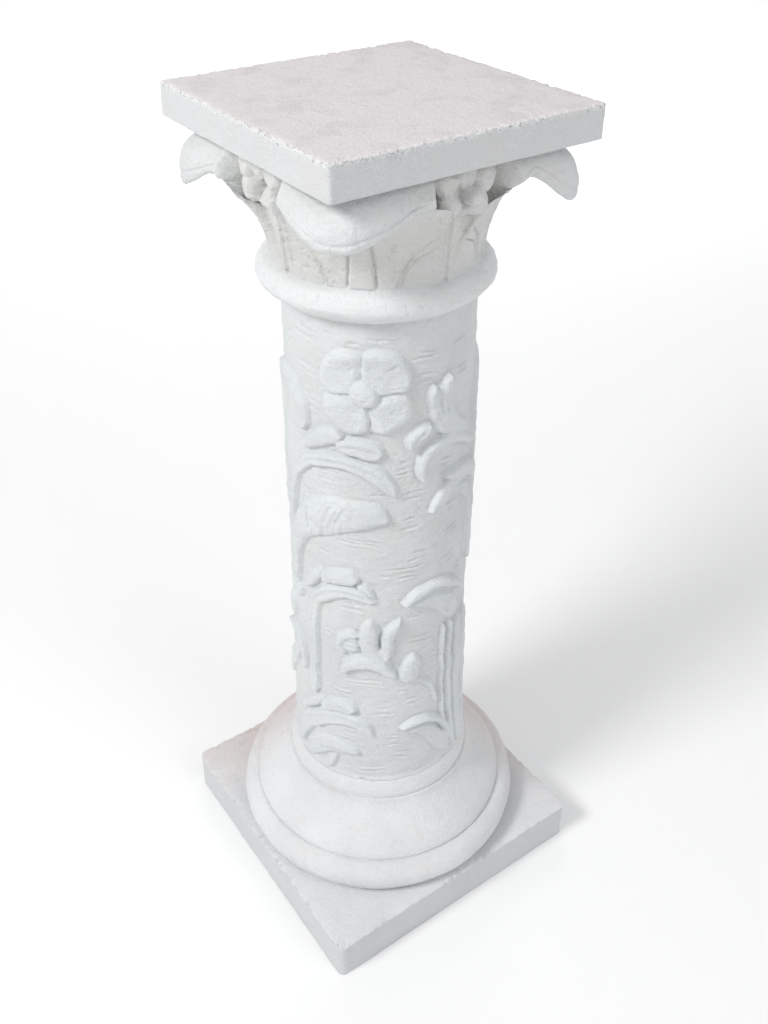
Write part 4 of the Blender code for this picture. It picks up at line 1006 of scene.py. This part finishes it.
def make_capital(finish):
    """Ring, bell, corner leaves and side flowers as one skin round the axis, joined to the worn top slab.
    Each column's profile runs from under the ring, up the blade or the bell, round the lip and in under the
    slab."""
    angle = np.linspace(0.0, 360.0, LEAF_COLUMNS, endpoint=False)
    side_offset = (angle + 45.0) % 90.0 - 45.0
    off_leaf = angle % 90.0 - 45.0
    corner_offset = np.abs(off_leaf)
    lip_radius, lip_height = leaf_sections(angle)
    blade_radius, blade_height = blade_sections(lip_radius[0], lip_height[0])
    leaf_radius = np.vstack([blade_radius, lip_radius])
    leaf_height = np.vstack([blade_height, lip_height])
    count = len(leaf_radius)
    share = np.linspace(0.0, 1.0, count)[:, None]
    bell_height = BELL_FOOT + (leaf_height[-1].max() - BELL_FOOT) * share + 0.0 * angle
    bell_radius = BELL_RADIUS + BELL_FLARE * share**BELL_FLARE_POWER + 0.0 * angle
    row = np.arange(count)[:, None]
    blade_share = np.clip(row / BLADE_ROWS, 0.0, 1.0)
    leaf_edge = LEAF_FOOT_ANGLE - (LEAF_FOOT_ANGLE - LEAF_TOP_ANGLE) * blade_share**LEAF_TAPER_POWER
    on_curl = smooth((row - BLADE_ROWS) / (2 * LIP_STEPS))
    leaf_edge = leaf_edge - (LEAF_TOP_ANGLE - LEAF_HALF_ANGLE) * on_curl
    leaf_edge = leaf_edge + LEAF_EDGE_WAVE * np.sin(blade_share * 7.0 + np.sign(off_leaf)) * blade_share
    inside = leaf_edge - corner_offset[None, :]
    on_leaf = smooth(inside / LEAF_EDGE_WIDTH + 0.5)
    spear_edge = SPEAR_HALF_ANGLE + SPEAR_SPREAD * share
    bell_radius += SPEAR_HEIGHT * smooth((spear_edge - np.abs(side_offset)[None, :]) / SPEAR_EDGE + 0.5)
    radius = bell_radius + (leaf_radius - bell_radius) * on_leaf
    height = bell_height + (leaf_height - bell_height) * on_leaf
    flower = flower_front(side_offset[None, :], height)
    on_flower = smooth((flower - radius) / 0.002)
    radius = np.maximum(radius, flower)

    # Relief on the blade: midrib between two grooves, two veins each side, and a rim along the leaf's edge
    sideways = leaf_radius * np.sin(np.radians(corner_offset))[None, :]
    rib_width = MIDRIB_HALF_WIDTH - 0.0045 * blade_share
    on_blade = smooth((BLADE_ROWS - row) / 3.0) * smooth(row / 3.0)
    detail = MIDRIB_HEIGHT * smooth((rib_width - sideways) / 0.0022 + 0.5)
    detail -= RIB_GROOVE[0] * swell(sideways - rib_width - RIB_GROOVE[1], RIB_GROOVE[1])
    above_ring = 1000.0 * (leaf_height - BELL_FOOT)
    for heights, angles in VEINS:
        past_vein = corner_offset[None, :] - np.interp(above_ring, heights, angles)
        vein = VEIN_BANK[0] * swell(past_vein + BANK_OFFSET, VEIN_BANK[1])
        vein -= VEIN_CUT[0] * swell(past_vein, VEIN_CUT[1])
        detail += vein * smooth((heights[-1] - above_ring) / 6.0)
    detail += EDGE_RIM[0] * swell(inside - EDGE_RIM_INSET, EDGE_RIM[1]) * smooth(blade_share / 0.3)
    detail = detail * on_blade * on_leaf

    # Relief on the lip: a border line a little way in from its edge, and the mould's seam up its middle
    past_tip = row - LIP_TIP_ROW
    on_lip = smooth((past_tip - 2.0) / 3.0) * on_leaf
    border = 1.9 * LIP_STEPS + 0.9 * np.sin(0.35 * off_leaf[None, :])
    in_middle = smooth((25.0 - corner_offset) / 5.0)
    detail -= LIP_BORDER[0] * swell(past_tip - border, LIP_BORDER[1]) * on_lip * in_middle
    detail += LIP_SEAM[0] * swell(off_leaf[None, :] - 1.0, LIP_SEAM[1]) * on_lip

    # Roughness: slow lumps, grit, pitted flowers and pinholes, all fading out at the capital's foot

    ring = ring_profile()
    radius = np.vstack([ring[:, :1] + 0.0 * angle, radius])
    height = np.vstack([ring[:, 1:] + 0.0 * angle, height])
    detail = np.vstack([np.zeros((RING_STEPS, len(angle))), detail])
    on_flower = np.vstack([np.zeros((RING_STEPS, len(angle))), on_flower])
    skin = ring_points(radius, np.broadcast_to(angle + LEAF_TURN, radius.shape), height)
    detail += CAPITAL_LUMPS[0] * (rough(skin, CAPITAL_LUMPS[1], 71) - 0.3)
    detail += CAPITAL_GRIT[0] * rough(skin, CAPITAL_GRIT[1], 77)
    detail -= FLOWER_PITS[0] * np.clip(rough(skin, FLOWER_PITS[1], 79) - 0.05, 0.0, None) * on_flower
    detail -= CAPITAL_HOLE_DEPTH * holes(skin, HOLE_SIZE, 89, 0.60)
    detail *= smooth((height - CAPITAL_FOOT) / 0.002)
    skin = skin + outward(skin) * detail[..., None] + CAPITAL_OFFSET
    leaves = new_object("leaves", closed_grid("leaves", skin))
    thin_to(leaves, LEAVES_TRIANGLES)

    slab = worn_slab(
        "capital_carved", SLAB_SIDE, SLAB_FOOT, SLAB_TOP, SLAB_CORNER, 83, SLAB_WEAR, SLAB_DENTS
    )
    slab.transform(Matrix.Translation(Vector(CAPITAL_OFFSET)))
    capital = new_object("capital_carved", slab)
    union(capital, leaves)
    settle(capital, finish)
    bpy.data.objects.remove(leaves)
    return capital


# Materials


class Wire:
    """A socket that takes part in sums: each sum adds its Math node to the tree."""

    def __init__(self, tree, socket):
        self.tree = tree
        self.socket = socket

    def math(self, operation, *others):
        """One Math node on this socket and any others, in that order."""
        inputs = dict(enumerate((self, *others)))
        return self.tree.node("ShaderNodeMath", {"operation": operation}, inputs)

    def __add__(self, other):
        return self.math("ADD", other)

    def __radd__(self, other):
        return self.math("ADD", other)

    def __sub__(self, other):
        return self.math("SUBTRACT", other)

    def __rsub__(self, other):
        return self.tree.node("ShaderNodeMath", {"operation": "SUBTRACT"}, {0: other, 1: self})

    def __mul__(self, other):
        return self.math("MULTIPLY", other)

    def __rmul__(self, other):
        return self.math("MULTIPLY", other)

    def __pow__(self, other):
        return self.math("POWER", other)

    def step(self, low, high):
        """A soft step from 0 at low to 1 at high."""
        settings = {"interpolation_type": "SMOOTHSTEP", "clamp": True}
        inputs = {"Value": self, "From Min": low, "From Max": high}
        return self.tree.node("ShaderNodeMapRange", settings, inputs)


class Paint:
    """A material's node tree, with one method that adds any node."""

    def __init__(self, name):
        self.material = bpy.data.materials.new(name)
        self.material.use_nodes = True
        self.tree = self.material.node_tree
        self.shader = self.tree.nodes["Principled BSDF"]
        coordinates = self.tree.nodes.new("ShaderNodeTexCoord")
        self.place = Wire(self, coordinates.outputs["Object"])

    def node(self, kind, settings, inputs, output=0):
        """Add a node: its settings first, then the values or links of its sockets, and give one output."""
        made = self.tree.nodes.new(kind)
        for name, value in settings.items():
            setattr(made, name, value)
        for name, value in inputs.items():
            self.feed(made.inputs[name], value)
        return Wire(self, made.outputs[output])

    def feed(self, socket, value):
        """Link a socket to the value's output, or set it where the value is a plain one."""
        if isinstance(value, Wire):
            self.tree.links.new(value.socket, socket)
        else:
            socket.default_value = value

    def axis(self, name):
        """One coordinate of the place on the object, in metres."""
        return self.node("ShaderNodeSeparateXYZ", {}, {"Vector": self.place}, name)

    def stretched(self, scale):
        """The place on the object with each coordinate scaled, which draws a texture out."""
        return self.node("ShaderNodeMapping", {}, {"Vector": self.place, "Scale": scale})

    def speckle(self, size, detail, roughness, place=None):
        """Noise from 0 to 1, whose spots are about this size in metres."""
        inputs = {"Vector": place or self.place, "Scale": 1.0 / size, "Detail": detail}
        inputs["Roughness"] = roughness
        return self.node("ShaderNodeTexNoise", {"noise_dimensions": "3D"}, inputs)

    def mix(self, share, first, second):
        """Blend two colours."""
        return self.node("ShaderNodeMix", {"data_type": "RGBA"}, {0: share, 6: first, 7: second}, 2)


def colour(red, green, blue):
    """A screen colour from 0 to 255, as the linear values a shader takes."""
    shares = np.array([red, green, blue]) / 255.0
    linear = np.where(shares <= 0.04045, shares / 12.92, ((shares + 0.055) / 1.055) ** 2.4)
    return (*linear.tolist(), 1.0)


# Paint: its faint gloss, and the strength and depth in metres of its fine relief
PAINT_SPECULAR = 0.3
BUMP_STRENGTH = 0.9
BUMP_DEPTH = 0.0015

# Fall of the shaft's radius with height, and the radius it would have at the ground
SHAFT_TAPER = (SHAFT_TOP_RADIUS - SHAFT_FOOT_RADIUS) / (SHAFT_HIGH - SHAFT_LOW)
SHAFT_GROUND_RADIUS = SHAFT_FOOT_RADIUS - SHAFT_LOW * SHAFT_TAPER


def painted_plaster(name, paint, shade, warm, brush_scale, tinted):
    """Matt white paint brushed over cast plaster: slow drifts of tint, brush marks drawn out along the
    strokes, and fine grain that shows the darker plaster. The piece adds its own tints and painted shade by
    place."""
    made = Paint(name)
    drift = made.speckle(0.09, 3.0, 0.55)
    cloud = made.speckle(0.028, 3.0, 0.6)
    brush = made.speckle(0.010, 4.0, 0.65, made.stretched(brush_scale))
    grain = made.speckle(0.0014, 2.0, 0.6)
    grit = made.speckle(0.0034, 2.0, 0.55)
    tint = made.mix(drift.step(0.35, 0.65), paint, shade)
    tint = tinted(made, tint)
    tint = made.mix(cloud.step(0.5, 0.8) * 0.4, tint, warm)
    tint = made.mix(brush.step(0.45, 0.75) * 0.22, tint, shade)
    tint = made.mix(grain.step(0.50, 0.72) * 0.16, tint, colour(150, 147, 142))
    made.feed(made.shader.inputs["Base Color"], tint)
    made.feed(made.shader.inputs["Roughness"], brush.step(0.3, 0.8) * 0.12 + 0.62)
    made.shader.inputs["Specular IOR Level"].default_value = PAINT_SPECULAR
    relief = brush * 0.6 + grain * 0.55 + grit * 0.55 + cloud * 0.6
    inputs = {"Strength": BUMP_STRENGTH, "Distance": BUMP_DEPTH, "Height": relief}
    made.feed(made.shader.inputs["Normal"], made.node("ShaderNodeBump", {}, inputs))
    return made


# Direction in which the base's far side lies from the camera
FAR_SIDE = (0.577, 0.817)


def base_dust_and_shade(made, tint):
    """Faint pink dust and grey smudges towards the base's far side; painted shade greys the plinth's sides.
    """
    far = made.axis("X") * FAR_SIDE[0] + made.axis("Y") * FAR_SIDE[1]
    high = made.axis("Z").step(PLINTH_HEIGHT - 0.003, PLINTH_HEIGHT)
    smudge = made.speckle(0.012, 3.0, 0.6).step(0.56, 0.70)
    tint = made.mix(far.step(-0.05, 0.10) * high * 0.85, tint, colour(215, 201, 198))
    tint = made.mix(far.step(-0.06, 0.06) * smudge * 0.35, tint, colour(176, 172, 170))
    # painted shade: the plinth's sides below its top are painted greyer
    return made.mix((1.0 - high) * 0.7, tint, colour(204, 207, 210))


def shaft_recess_shade(made, tint):
    """Painted shade: warm grey where the surface lies low between the carvings, by its distance from the
    axis.
    """
    away = (made.axis("X") ** 2.0 + made.axis("Y") ** 2.0) ** 0.5
    ground = made.axis("Z") * SHAFT_TAPER + SHAFT_GROUND_RADIUS
    # painted shade: a warm grey laid where the surface lies low between the carvings
    low = 1.0 - (away - ground).step(-0.0008, 0.0022)
    return made.mix(low * 0.3, tint, colour(208, 209, 206))


def capital_dust_and_shade(made, tint):
    """Faint pink dust and smudges on the slab's top, a sandy band along its arris, a lighter ring, and
    painted
    shade: greyer on the slab's sides, and warm grey deep on the blades and the bell."""
    height = made.axis("Z")
    away = (made.axis("X") ** 2.0 + made.axis("Y") ** 2.0) ** 0.5
    # painted shade: warm grey deep on the blades and the bell, under the leaves' lips
    deep = (1.0 - away.step(0.100, 0.145)) * height.step(BELL_FOOT - 0.002, BELL_FOOT + 0.006)
    tint = made.mix(deep * 0.45, tint, colour(209, 207, 201))
    # the ring is made lighter than the bell above it
    tint = made.mix((1.0 - height.step(BELL_FOOT - 0.004, BELL_FOOT)) * 0.9, tint, colour(227, 230, 231))
    # painted shade: the slab, and so its sides, painted greyer and cooler; its top is tinted again below
    tint = made.mix(height.step(SLAB_FOOT - 0.001, SLAB_FOOT) * 0.8, tint, colour(212, 214, 216))
    smudge = made.speckle(0.030, 4.0, 0.62).step(0.50, 0.68)
    dusty = made.mix(smudge * 0.7, colour(225, 219, 222), colour(211, 207, 210))
    tint = made.mix(height.step(SLAB_TOP - 0.0012, SLAB_TOP - 0.0004), tint, dusty)
    off_x = (made.axis("X") - CAPITAL_OFFSET[0]).math("ABSOLUTE")
    off_y = (made.axis("Y") - CAPITAL_OFFSET[1]).math("ABSOLUTE")
    arris = off_x.math("MAXIMUM", off_y).step(SLAB_SIDE / 2 - 0.006, SLAB_SIDE / 2 - 0.002)
    arris = arris * height.step(SLAB_TOP - 0.005, SLAB_TOP - 0.003)
    sand = made.speckle(0.0020, 2.0, 0.6)
    tint = made.mix(arris * sand.step(0.40, 0.60) * 0.6, tint, colour(238, 238, 238))
    return made.mix(arris * (1.0 - sand.step(0.33, 0.38)) * 0.7, tint, colour(140, 136, 132))


# Camera, floor and light

# The camera as fitted to the photograph: picture height, focal length and middle row in pixels, the
# directions of its view, its distance and height from the column's foot in metres, and the degrees by which
# all of this is turned about the column
PHOTO_HEIGHT = 1024
FOCAL_PIXELS = 1104.06
MIDDLE_Y_PIXELS = 380.0
SIGHT_RIGHT = (0.99999, -0.00232, 0.00467)
SIGHT_UP = (-0.00289, 0.49802, 0.86716)
SIGHT_FORWARD = (0.00434, 0.86717, -0.49800)
SIGHT_DISTANCE = 0.83520
SIGHT_HEIGHT = 1.02700
PHOTO_TURN = -35.25

# Section of the floor, in metres: distance out and height; and how many columns it has round
FLOOR_REACH = np.array([0.0, 1.0, 3.0, 5.0, 6.0, 6.7, 7.0, 7.0])
FLOOR_RISE = np.array([0.0, 0.0, 0.0, 0.0, 0.15, 0.6, 1.5, 5.0])
FLOOR_COLUMNS = 96
SKY_TINT = (0.985, 0.992, 1.0, 1.0)
SKY_STRENGTH = 0.53
# Lamps: name, place and target before the photograph's turn, size, power in watts, tint and angle of spread
LAMPS = (
    ("key", (-1.85, -1.35, 2.45), (0.0, 0.0, 0.45), 0.9, 53.0, (1.0, 0.995, 0.98), 180.0),
    ("fill", (1.80, -1.65, 2.20), (0.0, 0.0, 0.35), 1.8, 17.0, (0.985, 0.99, 1.0), 180.0),
    ("floor_lamp", (0.0, 3.7, 3.0), (0.0, 3.7, 0.0), 3.0, 45.0, (1.0, 1.0, 1.0), 110.0),
)


def turned(direction, degrees):
    """A direction turned about the upright axis."""
    turn = math.radians(degrees)
    x, y, z = direction
    return Vector((x * math.cos(turn) - y * math.sin(turn), x * math.sin(turn) + y * math.cos(turn), z))


def make_camera():
    """Camera where the photograph was taken from, looking down on the column, with a small upward crop."""
    right, up, forward = (turned(axis, PHOTO_TURN) for axis in (SIGHT_RIGHT, SIGHT_UP, SIGHT_FORWARD))
    place = turned((0.0, -SIGHT_DISTANCE, SIGHT_HEIGHT), PHOTO_TURN)
    lens = bpy.data.cameras.new("camera")
    lens.sensor_width = 36.0
    lens.lens = lens.sensor_width * FOCAL_PIXELS / PHOTO_HEIGHT
    lens.shift_y = (MIDDLE_Y_PIXELS - PHOTO_HEIGHT / 2) / PHOTO_HEIGHT
    camera = bpy.data.objects.new("camera", lens)
    bpy.context.scene.collection.objects.link(camera)
    camera.matrix_world = Matrix(
        [[right[i], up[i], -forward[i], place[i]] for i in range(3)] + [[0.0, 0.0, 0.0, 1.0]]
    )
    bpy.context.scene.camera = camera


def area_light(name, place, target, size, power, tint, spread):
    """A large soft lamp that looks at a target and lights only what lies within an angle of spread."""
    lamp = bpy.data.lights.new(name, "AREA")
    lamp.shape = "DISK"
    lamp.size = size
    lamp.energy = power
    lamp.spread = math.radians(spread)
    lamp.color = tint
    holder = bpy.data.objects.new(name, lamp)
    bpy.context.scene.collection.objects.link(holder)
    aim = (target - place).to_track_quat("-Z", "Y").to_matrix().to_4x4()
    holder.matrix_world = Matrix.Translation(place) @ aim


def make_stage():
    """Pale floor that turns up into a far wall all round, a white sky, a soft lamp from the upper left, a
    weaker one from the right, and one that lights only the floor far behind."""
    angle = np.linspace(0.0, 2 * np.pi, FLOOR_COLUMNS, endpoint=False)
    reach, rise = FLOOR_REACH[:, None], FLOOR_RISE[:, None]
    points = np.stack([reach * np.cos(angle), reach * np.sin(angle), rise + 0.0 * angle], axis=-1)
    here = np.arange(FLOOR_COLUMNS)
    there = np.roll(here, -1)
    starts = (np.arange(len(reach) - 1) * FLOOR_COLUMNS)[:, None]
    over = starts + FLOOR_COLUMNS
    quads = np.stack([starts + here, over + here, over + there, starts + there], axis=-1)
    mesh = bpy.data.meshes.new("floor")
    mesh.from_pydata(points.reshape(-1, 3).tolist(), [], quads.reshape(-1, 4).tolist())
    mesh.shade_smooth()
    floor = new_object("floor", mesh)
    finish = Paint("floor_paper")
    finish.shader.inputs["Base Color"].default_value = colour(250, 250, 250)
    finish.shader.inputs["Roughness"].default_value = 0.9
    mesh.materials.append(finish.material)

    world = bpy.data.worlds.new("soft_sky")
    world.use_nodes = True
    world.node_tree.nodes["Background"].inputs["Color"].default_value = SKY_TINT
    world.node_tree.nodes["Background"].inputs["Strength"].default_value = SKY_STRENGTH
    bpy.context.scene.world = world
    for name, place, target, *settings in LAMPS:
        area_light(name, turned(place, PHOTO_TURN), turned(target, PHOTO_TURN), *settings)
    bpy.context.scene.view_settings.view_transform = "Standard"


# The pieces: node, its function, its paint, shaded and warm colours, its brush marks' scale, and its tints
PIECES = (
    (
        "base", make_base,
        (227, 229, 231), (219, 221, 224), (224, 217, 214), (1.0, 1.0, 2.6), base_dust_and_shade,
    ),
    (
        "shaft", make_shaft,
        (222, 226, 228), (213, 217, 219), (216, 213, 208), (0.8, 0.8, 3.4), shaft_recess_shade,
    ),
    (
        "capital", make_capital,
        (221, 224, 225), (212, 214, 215), (217, 212, 205), (1.0, 1.0, 2.2), capital_dust_and_shade,
    ),
)


def main():
    """The stage, then each piece with its paint: it rides on the body, replaces its node and has its slot."""
    make_camera()
    make_stage()
    for node, make, paint, shade, warm, brush_scale, tints in PIECES:
        colours = (colour(*paint), colour(*shade), colour(*warm))
        finish = painted_plaster(f"{node}_paint", *colours, brush_scale, tints)
        piece = make(finish.material)
        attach(piece, "root")
        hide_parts(node)
    bpy.context.view_layer.update()


main()
